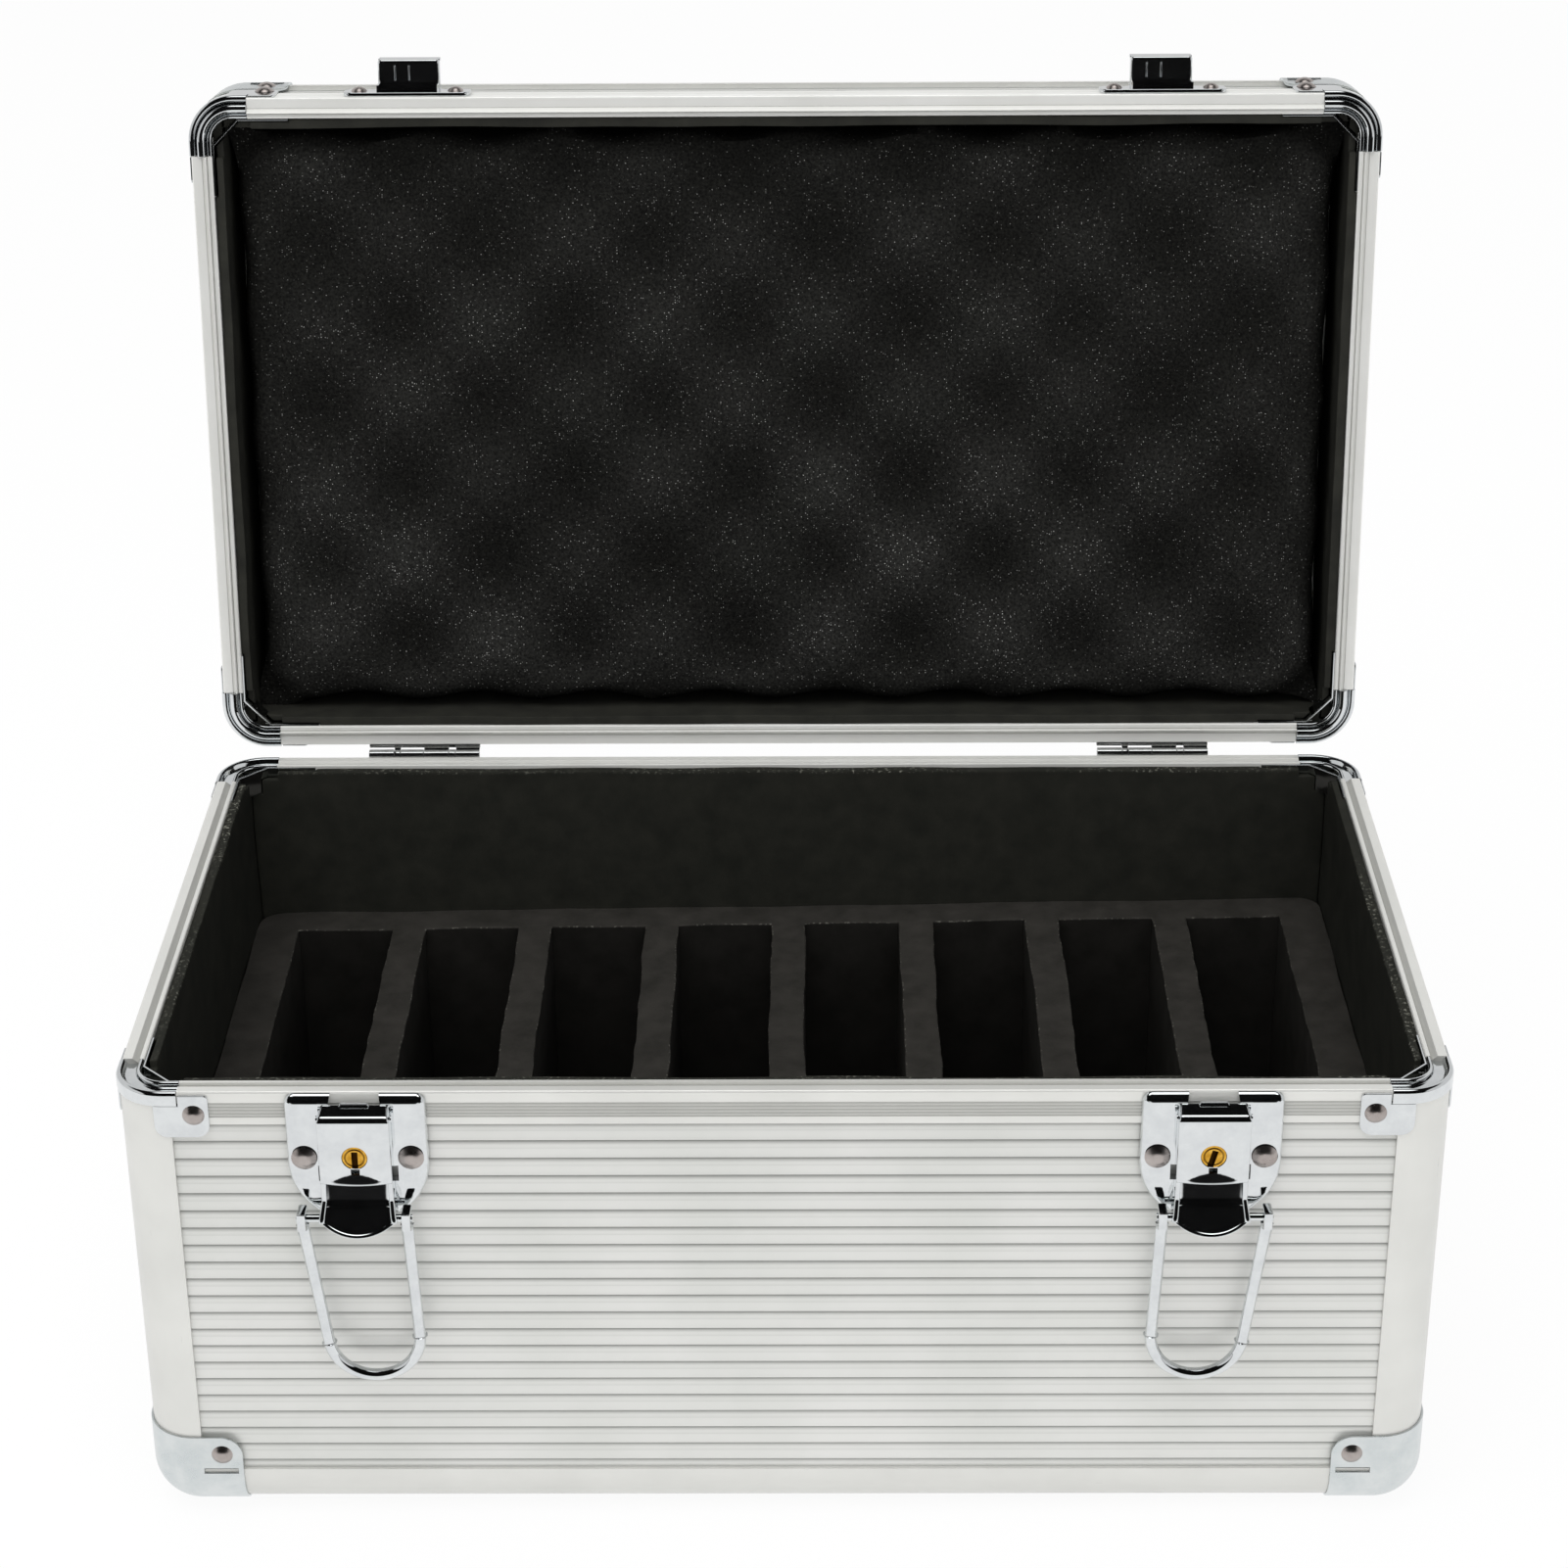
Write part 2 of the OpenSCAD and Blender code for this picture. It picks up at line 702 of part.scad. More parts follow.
module plate_plan(inset = 0) {
  difference() {
    union() {
      translate([-plate_w / 2 + inset, shield_y]) square([plate_w - 2 * inset, -shield_y - inset]);
      translate([0, shield_y]) circle(plate_w / 2 - inset);
    }
    translate([-6.4 - inset, -1.5 - inset]) square([12.8 + 2 * inset, 5]);
  }
}

module plate_wall() {
  difference() {
    plate_plan();
    plate_plan(latch_t);
  }
}

// Extrudes an outline of [out of the front, up] between two places along X.
module side_slab(x, t) {
  translate([x, 0, 0]) rotate([0, -90, 0]) mirror([0, 0, 1]) linear_extrude(t) children();
}

module both_sides(x, t) {
  side_slab(x, t) children();
  side_slab(-x - t, t) children();
}

ear_x = lever_w / 2 - 2 * latch_t - 0.2;   // inner face of a pivot ear
window_w = lever_w / 2 + 1.4;              // half width of the plate's window

module latch_plate(s) {
  flange_y = rim_z - rim_flange - latch_top;
  color("white") on_front(s * latch_x, latch_top) difference() {
    union() {
      translate([0, 0, plate_rise - 1]) linear_extrude(1) plate_plan();
      linear_extrude(plate_rise) plate_wall();
      translate([0, 0, -skin]) linear_extrude(skin + 0.2) intersection() {
        plate_wall();
        translate([-plate_w, flange_y - 60]) square([2 * plate_w, 60]);
      }
      both_sides(ear_x, latch_t) difference() {
        union() {
          translate(pivot) circle(pivot_r + 0.7);
          polygon([[plate_rise - 1, -15], [plate_rise, -15], [pivot[0] + 1.5, pivot[1] - 0.6],
                   [pivot[0] - 1.5, pivot[1] + 0.6], [plate_rise - 1, -10.5]]);
        }
        translate(pivot) circle(pivot_r + 0.02);
      }
    }
    difference() {
      translate([-window_w, -9.6, 0]) cube([2 * window_w, 5.4, 10]);
      both_sides(ear_x - 0.01, latch_t + 0.02) square([20, 60], center = true);
    }
    translate([-window_w + 1, -5, 0]) cube([2 * (window_w - 1), 3.5, plate_rise + 0.1]);
    for (t = [-1, 1]) {
      translate([t * (window_w - 0.6) - 0.5, -28.5, 0]) cube([1, 5.5, 10]);
      translate([t * plate_rivet[0], plate_rivet[1], -5]) cylinder(r = rivet_r, h = 10);
    }
  }
}

// Outline of the lever's sheet, seen from the side.
module lever_sheet_side() {
  s = lever_s;
  t = latch_t;
  polygon([[3.4, -1.7], [s - 0.9, -2.6], [s, -3.4], [s, -23.4], [5.4, -30.4], [12, -36.4],
           [11.4, -37.4], [5.0, -31.9], [3.8, -30.7], [s - t, -23], [s - t, -4.2],
           [3.6, -3.0]]);
}

// Outline of the lever's side walls, with an eye for the bail's pin.
module lever_wall_side() {
  polygon([[3.4, -1.8], [lever_s - 1, -2.8], [lever_s - 0.2, -3.6], [lever_s - 0.2, -23.4],
           [5.4, -30.6], [8.6, -33.4], [4.2, -33.6], [2.6, -29], [2.6, -4.6]]);
  translate(bail_pin) circle(2.5);
}

// The lever narrows at its top, so that the bail's legs pass beside it.
module lever_outline() {
  w = lever_w / 2;
  top_w = w - 1.1;
  polygon([[-w, -60], [w, -60], [w, -6.5], [top_w, -1.5], [-top_w, -1.5], [-w, -6.5]]);
}

module lever_front_plan() {
  translate([-lever_w / 2, -32.6]) square([lever_w, 32.6]);
  intersection() {
    translate([0, -20.6]) circle(15.8);
    translate([-lever_w / 2, -40]) square([lever_w, 20]);
  }
}

module latch_lever(s) {
  color("white") on_front(s * latch_x, latch_top) difference() {
    intersection() {
      union() {
        intersection() {
          side_slab(-lever_w / 2, lever_w) lever_sheet_side();
          linear_extrude(20) lever_front_plan();
        }
        both_sides(lever_w / 2 - latch_t, latch_t) lever_wall_side();
      }
      linear_extrude(20) lever_outline();
    }
    both_sides(0, lever_w) translate(pivot) circle(pivot_r + run);
    both_sides(0, lever_w) translate(bail_pin) circle(bail_pin_r + 0.02);
    translate([0, core_y, 3]) cylinder(d = core_d + 2 * run, h = 10);
    translate([-1.15, core_y - core_d / 2 - 1.7, 3]) cube([2.3, 1.9, 10]);
  }
}

// Brass core with a keyway, turned a little on the right-hand latch.
module lock_core(s) {
  color("gold") on_front(s * latch_x, latch_top) translate([0, core_y, 0]) difference() {
    union() {
      translate([0, 0, lever_s - latch_t - 2.2]) cylinder(d = core_d, h = latch_t + 2);
      translate([0, 0, lever_s - latch_t - 1.2]) cylinder(d = core_d + 1.6, h = 1);
    }
    rotate([0, 0, s > 0 ? -15 : 0]) translate([-0.8, -core_d / 2 - 0.2, lever_s - 1.8])
      cube([1.6, core_d / 2 + 1.9, 3]);
    translate([0, 0, lever_s - 0.5]) difference() {
      cylinder(d = core_d - 1.2, h = 1);
      cylinder(d = core_d - 2, h = 1);
    }
  }
}

module latch_pivot_pins() {
  color("silver") for (s = [-1, 1]) on_front(s * latch_x, latch_top)
    side_slab(-lever_w / 2, lever_w) translate(pivot) circle(pivot_r);
}

// Places of the two eyes, and the tangents from them to the bow.
function eye_x(t) = t * ear_span / 2 - ear_shift;
bow_y = -(bail_l - bail_wire / 2 - bow_r);
leg_top = -1.8;
leg_seat = 0.5;                     // a leg runs this far into the bow's end
leg_slack = 0.04;                   // and is this much thinner than the bow
function tangent_angle(t) =
  let (v = [eye_x(t) - arc_shift, leg_top - bow_y], d = norm(v))
  atan2(v[1], v[0]) - t * acos(bow_r / d);

module bail_leg(t) {
  a = tangent_angle(t);
  end = [arc_shift + bow_r * cos(a), bow_y + bow_r * sin(a)];
  start = [eye_x(t), leg_top];
  lean = atan2(end[0] - start[0], start[1] - end[1]);
  translate([start[0], start[1], 0]) rotate([0, 0, lean]) rotate([90, 0, 0])
    cylinder(d = bail_wire - leg_slack, h = norm(end - start) + leg_seat);
}

module bail_bow() {
  a = tangent_angle(-1);
  b = tangent_angle(1) + 360;
  translate([arc_shift, bow_y, 0]) rotate([0, 0, a]) rotate_extrude(angle = b - a)
    translate([bow_r, 0]) circle(d = bail_wire);
}

module bail_shape() {
  difference() {
    union() {
      bail_bow();
      for (t = [-1, 1]) {
        bail_leg(t);
        side_slab(eye_x(t) - ear_t / 2, ear_t) square(2 * ear_half, center = true);
      }
    }
    side_slab(-40, 80) circle(bail_pin_r + run);
  }
}

// The bail of the right-hand latch is the mirror of the left one.
module bail(s) {
  color("white") on_front(s * latch_x, latch_top) mirror([s > 0 ? 1 : 0, 0, 0])
    translate([0, bail_pin[1], bail_pin[0]]) bail_shape();
}

module bail_pin_solid(s) {
  color("silver") on_front(s * latch_x, latch_top) mirror([s > 0 ? 1 : 0, 0, 0])
    side_slab(eye_x(-1) - ear_t / 2 - 0.3, ear_span + ear_t + 0.6)
      translate(bail_pin) circle(bail_pin_r);
}

// ---------------------------------------------------------------- handle

module at_handle() {
  opened() translate([0, 0, handle_z]) children();
}

module handle_brackets() {
  base_z = lid_top - handle_z;
  color("silver") difference() {
    at_handle() for (s = [0, 1]) mirror([s, 0, 0]) {
      translate([bracket_x, -bracket_plate[1] / 2, base_z]) cube(bracket_plate);
      translate([bracket_x, 0, 0]) rotate([90, 0, 90]) linear_extrude(lug_t) {
        circle(eye_r);
        translate([-eye_r, base_z]) square([2 * eye_r, -base_z]);
      }
      translate([bracket_x - lug_gap - arm_t, 0, 0]) rotate([0, 90, 0])
        cylinder(r = handle_pin_r, h = arm_t + lug_gap + lug_t / 2);
    }
    opened() top_rivet_holes();
  }
}

// Grip with an arm at each end, one moulding.
module handle() {
  color("black") at_handle() rotate([handle_rise, 0, 0]) difference() {
    union() {
      translate([-grip_l / 2, handle_reach, 0]) rotate([0, 90, 0])
        cylinder(d = grip_d, h = grip_l);
      for (s = [0, 1]) mirror([s, 0, 0]) translate([grip_l / 2 - arm_t, 0, 0])
        rotate([90, 0, 90]) linear_extrude(arm_t) {
          circle(eye_r);
          translate([0, -eye_r]) square([handle_reach, 2 * eye_r]);
        }
    }
    translate([-grip_l, 0, 0]) rotate([0, 90, 0])
      cylinder(r = handle_pin_r + run, h = 2 * grip_l);
  }
}

// ---------------------------------------------------------------- nodes

floor_panel();
body_panel(0);  // front_panel
body_panel(2);  // back_panel
body_panel(3);  // left_panel
body_panel(1);  // right_panel
post(0, 0);  // front_left_post
post(1, 0);  // front_right_post
post(0, 1);  // back_left_post
post(1, 1);  // back_right_post
base_rail(0);  // front_base_rail
base_rail(2);  // back_base_rail
base_rail(3);  // left_base_rail
base_rail(1);  // right_base_rail
body_rim_rail(0);  // front_rim_rail
body_rim_rail(2);  // back_rim_rail
body_rim_rail(3);  // left_rim_rail
body_rim_rail(1);  // right_rim_rail
rim_corner(0, 0);  // front_left_rim_corner
rim_corner(1, 0);  // front_right_rim_corner
rim_corner(0, 1);  // back_left_rim_corner
rim_corner(1, 1);  // back_right_rim_corner
ball_corner(0, 0);  // front_left_ball_corner
ball_corner(1, 0);  // front_right_ball_corner
ball_corner(0, 1);  // back_left_ball_corner
ball_corner(1, 1);  // back_right_ball_corner
body_rivets();
body_lining();
foam_base();
foam_insert();
lid_panel();
lid_walls();
lid_posts();
lid_edge_rails();
lid_rim_rails();
lid_rim_corners();
lid_ball_corners();
lid_rivets();
lid_lining();
lid_foam();
catch(-1);  // left_catch
catch(1);  // right_catch
hinge_body_leaf(-1);  // left_hinge_body_leaf
hinge_lid_leaf(-1);  // left_hinge_lid_leaf
hinge_body_leaf(1);  // right_hinge_body_leaf
hinge_lid_leaf(1);  // right_hinge_lid_leaf
hinge_pins();
latch_plate(-1);  // left_latch_plate
latch_lever(-1);  // left_latch_lever
lock_core(-1);  // left_lock_core
bail_pin_solid(-1);  // left_bail_pin
bail(-1);  // left_bail
latch_plate(1);  // right_latch_plate
latch_lever(1);  // right_latch_lever
lock_core(1);  // right_lock_core
bail_pin_solid(1);  // right_bail_pin
bail(1);  // right_bail
latch_pivot_pins();
handle_brackets();
handle();
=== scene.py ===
# %% [markdown]
# # A hard carrying case, open
#
# The case is a box of thin laminated boards held in aluminium edge profiles, with chromed
# corners, two key-lock draw latches, a hinged lid and black foam inside. Its hard parts
# arrive finished in size from the CAD frame. This lesson gives every part its finish,
# replaces the foam and the boards with finer meshes, rounds the edges of the metal, and
# lights the result like a product on a white table.

# %% The frame and the words that the cells share
import math

import bmesh
import bpy
from mathutils import Matrix, Vector, noise
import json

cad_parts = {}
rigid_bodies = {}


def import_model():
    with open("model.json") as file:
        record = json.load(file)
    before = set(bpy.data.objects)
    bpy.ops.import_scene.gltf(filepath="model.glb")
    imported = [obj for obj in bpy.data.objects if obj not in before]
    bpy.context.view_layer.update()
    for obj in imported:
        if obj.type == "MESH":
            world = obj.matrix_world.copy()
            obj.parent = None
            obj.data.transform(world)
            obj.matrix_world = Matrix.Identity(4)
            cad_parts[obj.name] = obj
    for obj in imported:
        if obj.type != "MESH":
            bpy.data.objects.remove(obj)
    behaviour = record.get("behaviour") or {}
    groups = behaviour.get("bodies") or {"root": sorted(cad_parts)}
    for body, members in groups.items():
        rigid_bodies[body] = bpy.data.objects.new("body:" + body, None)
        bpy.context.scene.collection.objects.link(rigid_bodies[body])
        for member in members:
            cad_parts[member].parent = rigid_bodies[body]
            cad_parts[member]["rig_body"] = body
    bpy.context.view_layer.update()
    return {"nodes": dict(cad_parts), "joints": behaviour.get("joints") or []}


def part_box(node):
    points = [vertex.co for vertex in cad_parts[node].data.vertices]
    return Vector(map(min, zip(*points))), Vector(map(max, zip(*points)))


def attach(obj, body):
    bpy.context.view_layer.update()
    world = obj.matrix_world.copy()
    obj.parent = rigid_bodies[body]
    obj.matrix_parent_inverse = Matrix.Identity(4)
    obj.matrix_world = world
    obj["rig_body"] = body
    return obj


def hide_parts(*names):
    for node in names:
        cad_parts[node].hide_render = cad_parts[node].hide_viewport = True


MM = 0.001

# The noise vectors start from a seed, which would otherwise be the time of day.
noise.seed_set(7)

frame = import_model()
nodes = frame["nodes"]

# %% [markdown]
# ## The camera
#
# The view looks down at the case from about a metre away. A camera is placed by a point
# to stand at and a direction to look in, so the cell builds its three axes from a yaw, a
# pitch and a roll and writes them into a matrix.

# %% Camera
EYE = Vector((8.5, -884.1, 611.8)) * MM
PITCH = math.radians(26.24)
YAW = math.radians(-0.57)
ROLL = math.radians(-0.41)
LENS = 80.85


def camera_matrix(eye, yaw, pitch, roll):
    """The matrix of a camera that looks along yaw and pitch, turned by roll."""
    forward = Vector((
        math.sin(yaw) * math.cos(pitch), math.cos(yaw) * math.cos(pitch), -math.sin(pitch)
    ))
    level = Vector((math.cos(yaw), -math.sin(yaw), 0))
    up = level.cross(forward)
    right = math.cos(roll) * level + math.sin(roll) * up
    up = math.cos(roll) * up - math.sin(roll) * level
    return Matrix.Translation(eye) @ Matrix((right, up, -forward)).transposed().to_4x4()


scene = bpy.context.scene
camera = bpy.data.objects.new("camera", bpy.data.cameras.new("camera"))
camera.data.lens = LENS
camera.data.sensor_width = 36
camera.matrix_world = camera_matrix(EYE, YAW, PITCH, ROLL)
scene.collection.objects.link(camera)
scene.camera = camera
scene.view_settings.view_transform = "Standard"
print("camera stands", round(EYE.length, 3), "m from the origin")

# %% [markdown]
# ## A few helpers for materials
#
# Colours are picked as hex values, which are meant for screens, while a shader counts
# light. One function turns the first into the second. Another adds a node, sets it and
# links it, so that each material below reads like a recipe.

# %% Colour and node helpers
def colour(code):
    """The linear RGBA of an sRGB hex colour such as #c0ffee."""
    parts = [int(code[k:k + 2], 16) / 255 for k in (1, 3, 5)]
    return tuple(c / 12.92 if c <= 0.04045 else ((c + 0.055) / 1.055) ** 2.4 for c in parts) + (1,)


def wire(tree, node, sockets):
    """Gives each named socket of a node its value, or a link to it."""
    for name, source in sockets.items():
        if isinstance(source, bpy.types.NodeSocket):
            tree.links.new(source, node.inputs[name])
        else:
            node.inputs[name].default_value = source


def add(tree, kind, sockets=None, stops=(), **settings):
    """Adds a node, with its settings, its sockets and a ramp's (place, hex colour) stops."""
    node = tree.nodes.new(kind)
    for key, value in settings.items():
        setattr(node, key, value)
    wire(tree, node, sockets or {})
    for _ in range(2, len(stops)):
        node.color_ramp.elements.new(0.5)
    for k, (place, code) in enumerate(stops):
        node.color_ramp.elements[k].position = place
        node.color_ramp.elements[k].color = colour(code)
    return node


def new_material(name, **shader_values):
    """A material, its node tree, its Principled shader and object coordinates."""
    material = bpy.data.materials.new(name)
    material.use_nodes = True
    tree = material.node_tree
    shader = tree.nodes["Principled BSDF"]
    wire(tree, shader, {key.replace("_", " "): value for key, value in shader_values.items()})
    place = add(tree, "ShaderNodeTexCoord").outputs["Object"]
    return material, tree, shader, place


print("white is", colour("#ffffff"))

# %% [markdown]
# ## Anodised aluminium profiles
#
# The edges are extruded aluminium, brushed and then anodised. Brushing leaves fine lines
# along the bar, and the anodic layer scatters light, so the metal looks silky and pale
# instead of mirror-like. Noise that is stretched along the bar makes the lines: across
# it they are 0.3 mm apart, a little coarser than real ones, so that they still show.

# %% Anodised aluminium
LINE = 0.3 * MM


def anodised(name, stretch, tones=("#d6d6d2", "#dededa")):
    """Brushed and anodised aluminium, with its lines stretched along one axis."""
    material, tree, shader, place = new_material(name, Metallic=0.36)
    lined = add(tree, "ShaderNodeMapping", {"Vector": place, "Scale": stretch})
    lines = add(tree, "ShaderNodeTexNoise", {
        "Vector": lined.outputs["Vector"], "Scale": 1 / LINE, "Detail": 2, "Roughness": 0.6
    }).outputs["Fac"]
    cloud = add(tree, "ShaderNodeTexNoise", {"Vector": place, "Scale": 1 / (22 * MM), "Detail": 3})
    tone = add(tree, "ShaderNodeValToRGB", {"Fac": cloud.outputs["Fac"]}, (
        (0.3, tones[0]), (0.7, tones[1])))
    # Painted shade: the colour darkens where the mesh's groove attribute marks grooves and lines.
    painted_groove_shade = add(tree, "ShaderNodeAttribute", attribute_name="groove")
    mixed = add(tree, "ShaderNodeMix", {
        "Factor": painted_groove_shade.outputs["Fac"], "A": tone.outputs["Color"], "B": colour("#85857f")
    }, data_type="RGBA")
    rough = add(tree, "ShaderNodeMapRange", {"Value": lines, "To Min": 0.25, "To Max": 0.36})
    bump = add(tree, "ShaderNodeBump", {"Height": lines, "Strength": 0.15, "Distance": 0.01 * MM})
    wire(tree, shader, {
        "Base Color": mixed.outputs["Result"], "Roughness": rough.outputs["Result"],
        "Normal": bump.outputs["Normal"]
    })
    return material


along_x = anodised("anodised_aluminium_along_x", (0.02, 1, 1))
along_y = anodised("anodised_aluminium_along_y", (1, 0.02, 1))
along_z = anodised("anodised_aluminium_along_z", (1, 1, 0.02))
# Painted light: the lid's rails take a lighter copy of the same aluminium, for the light that falls on
# them.
lid_metal_painted_lighter = anodised("anodised_aluminium_lid_painted_lighter", (0.02, 1, 1), ("#e8e8e4", "#f0f0ed"))
print("brushed lines", LINE / MM, "mm apart")

# %% [markdown]
# ## Ribbed laminated board
#
# The walls are thin board with a pressed silver foil on the outside. The foil is pale and
# satin, softly mirrors what hangs in front of it, and is pressed into ribs. Shade falls in
# the grooves between them, and it is painted into the colour, which darkens there: the
# boards' meshes bring an attribute that says how deep a point lies.

# %% Laminated board
board, tree, shader, place = new_material("silver_foil_laminate", Metallic=0.45)
cloud = add(tree, "ShaderNodeTexNoise", {"Vector": place, "Scale": 1 / (35 * MM), "Detail": 4})
tone = add(tree, "ShaderNodeValToRGB", {"Fac": cloud.outputs["Fac"]}, (
    (0.3, "#d9dad6"), (0.7, "#e2e2df")))
# Painted shade: the colour darkens deep in the ribs' grooves.
depth = add(tree, "ShaderNodeAttribute", attribute_name="groove")
shade = add(tree, "ShaderNodeMix", {
    "Factor": depth.outputs["Fac"], "A": tone.outputs["Color"], "B": colour("#8c8e8a")
}, data_type="RGBA")
grain = add(tree, "ShaderNodeTexNoise", {"Vector": place, "Scale": 1 / (0.5 * MM), "Detail": 2})
rough = add(tree, "ShaderNodeMapRange", {
    "Value": grain.outputs["Fac"], "To Min": 0.34, "To Max": 0.46
})
bump = add(tree, "ShaderNodeBump", {
    "Height": grain.outputs["Fac"], "Strength": 0.1, "Distance": 0.02 * MM
})
wire(tree, shader, {
    "Base Color": shade.outputs["Result"], "Roughness": rough.outputs["Result"],
    "Normal": bump.outputs["Normal"]
})
print("board foil has", len(tree.nodes), "nodes")

# %% [markdown]
# ## Chrome and plated steel
#
# Latches, catches and rim corners are stamped steel under bright chrome: a clear mirror
# with the slight waviness of a pressed sheet. The ball corners at the foot of the case
# are drawn deeper and plated duller, so they look satin and a little blue. Rivets and
# hinges are plain nickel plate, which is warmer and less even.

# %% Chrome, satin zinc and nickel
def plated(name, tones, roughness, wave, wave_size):
    """Plated sheet steel: two tones, a range of roughness, and waves in the surface."""
    material, tree, shader, place = new_material(name, Metallic=1.0)
    cloud = add(tree, "ShaderNodeTexNoise", {
        "Vector": place, "Scale": 1 / (6 * MM), "Detail": 4, "Roughness": 0.6
    }).outputs["Fac"]
    tone = add(tree, "ShaderNodeValToRGB", {"Fac": cloud}, ((0.35, tones[0]), (0.65, tones[1])))
    rough = add(tree, "ShaderNodeMapRange", {
        "Value": cloud, "From Min": 0.3, "From Max": 0.7,
        "To Min": roughness[0], "To Max": roughness[1]
    })
    waves = add(tree, "ShaderNodeTexNoise", {"Vector": place, "Scale": 1 / wave_size, "Detail": 1})
    bump = add(tree, "ShaderNodeBump", {
        "Height": waves.outputs["Fac"], "Strength": 1, "Distance": wave
    })
    wire(tree, shader, {
        "Base Color": tone.outputs["Color"], "Roughness": rough.outputs["Result"],
        "Normal": bump.outputs["Normal"]
    })
    return material


chrome = plated("bright_chrome_on_steel", ("#dcdfe1", "#e6e9ea"), (0.04, 0.075), 0.02 * MM, 6 * MM)
satin = plated("satin_zinc_plate", ("#d6dcdd", "#e4e8e8"), (0.26, 0.34), 0.03 * MM, 8 * MM)
nickel = plated("nickel_plated_rivet", ("#aaa19d", "#c2bab6"), (0.24, 0.34), 0.02 * MM, 2 * MM)
steel = plated("nickel_plated_steel", ("#c9cbcb", "#dcdede"), (0.10, 0.17), 0.02 * MM, 3 * MM)
print("four platings ready")

# %% [markdown]
# ## Brass lock cores
#
# Each core is turned from brass bar, and the tool leaves rings round its centre. The
# rings are a wave pattern in rings about the Y axis, moved to each core's own centre.
# At scale 1 a wave texture has a ring every pi / 10, which gives the scale for a ring's
# real width.

# %% Brass
TOOL_RING = 0.4 * MM


def brass(name, centre):
    """Turned brass with tool rings round a centre, and painted shade down in the keyway."""
    material, tree, shader, place = new_material(name, Metallic=1.0, Roughness=0.24)
    moved = add(tree, "ShaderNodeMapping", {"Vector": place, "Location": -centre})
    rings = add(tree, "ShaderNodeTexWave", {
        "Vector": moved.outputs["Vector"], "Scale": math.pi / 10 / TOOL_RING, "Distortion": 0.2
    }, wave_type="RINGS", rings_direction="Y")
    cloud = add(tree, "ShaderNodeTexNoise", {"Vector": place, "Scale": 1 / (1.5 * MM), "Detail": 3})
    tone = add(tree, "ShaderNodeValToRGB", {"Fac": cloud.outputs["Fac"]}, (
        (0.35, "#c9942f"), (0.65, "#efbb52")))
    # Painted shade: the colour darkens down in the keyway.
    deep = add(tree, "ShaderNodeAttribute", attribute_name="groove")
    mixed = add(tree, "ShaderNodeMix", {
        "Factor": deep.outputs["Fac"], "A": tone.outputs["Color"], "B": colour("#2e1c06")
    }, data_type="RGBA")
    bump = add(tree, "ShaderNodeBump", {
        "Height": rings.outputs["Fac"], "Strength": 0.4, "Distance": 0.03 * MM
    })
    wire(tree, shader, {"Base Color": mixed.outputs["Result"], "Normal": bump.outputs["Normal"]})
    return material


cores = {}
for side in ("left", "right"):
    low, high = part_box(f"{side}_lock_core")
    cores[side] = brass(f"turned_brass_{side}", (low + high) / 2)
    print(side, "core's centre", [round(c / MM, 1) for c in (low + high) / 2])

# %% [markdown]
# ## Closed-cell foam
#
# The linings and the slotted insert are EVA foam, cut from sheet and block: dull, faintly
# mottled, with a fine skin, and a few pale crumbs where the knife went. The slots are in
# shade, and that shade is painted into the colour. An image could paint the crumbs and the
# painted shade of the slots, but it would fit one size only. Here two attributes of the
# mesh say where they are.

# %% Closed-cell foam
def eva(name, dark, light, grain_size, crumbs):
    """Closed-cell EVA sheet: mottled, finely grained, painted shade in cut slots, crumbs on cut edges."""
    material, tree, shader, place = new_material(
        name, Roughness=0.85, IOR=1.48, Specular_IOR_Level=0.25)
    cloud = add(tree, "ShaderNodeTexNoise", {
        "Vector": place, "Scale": 1 / (9 * MM), "Detail": 5, "Roughness": 0.65
    })
    tone = add(tree, "ShaderNodeValToRGB", {"Fac": cloud.outputs["Fac"]}, ((0.3, dark), (0.7, light)))
    # Painted shade: the inside attribute darkens the walls of the cut slots.
    inside = add(tree, "ShaderNodeAttribute", attribute_name="inside")
    shaded = add(tree, "ShaderNodeMix", {
        "Factor": inside.outputs["Fac"], "A": tone.outputs["Color"], "B": colour("#060605")
    }, data_type="RGBA")
    frayed = add(tree, "ShaderNodeAttribute", attribute_name="frayed")
    flecks = add(tree, "ShaderNodeTexNoise", {"Vector": place, "Scale": 1 / (0.9 * MM), "Detail": 3})
    crumb = add(tree, "ShaderNodeMapRange", {
        "Value": flecks.outputs["Fac"], "From Min": 0.56, "From Max": 0.70
    })
    share = add(tree, "ShaderNodeMath", {
        0: frayed.outputs["Fac"], 1: crumb.outputs["Result"]
    }, operation="MULTIPLY")
    mixed = add(tree, "ShaderNodeMix", {
        "Factor": share.outputs["Value"], "A": shaded.outputs["Result"], "B": colour(crumbs)
    }, data_type="RGBA")
    grain = add(tree, "ShaderNodeTexNoise", {"Vector": place, "Scale": 1 / grain_size, "Detail": 2})
    bump = add(tree, "ShaderNodeBump", {
        "Height": grain.outputs["Fac"], "Strength": 0.5, "Distance": 0.06 * MM
    })
    wire(tree, shader, {"Base Color": mixed.outputs["Result"], "Normal": bump.outputs["Normal"]})
    return material


lining = eva("eva_lining_sheet", "#1d1e1a", "#282823", 0.5 * MM, "#84847a")
# Painted light: the lid's lining is a lighter copy of the same sheet, for the light that falls on it.
lid_sheet_painted_lighter = eva("eva_lid_lining_sheet_painted_lighter", "#21211e", "#2d2d28", 0.5 * MM, "#5b5b52")
insert = eva("eva_foam_block", "#252421", "#33312e", 0.45 * MM, "#5d5c56")
print("three EVA foams:", lining.name, lid_sheet_painted_lighter.name, insert.name)
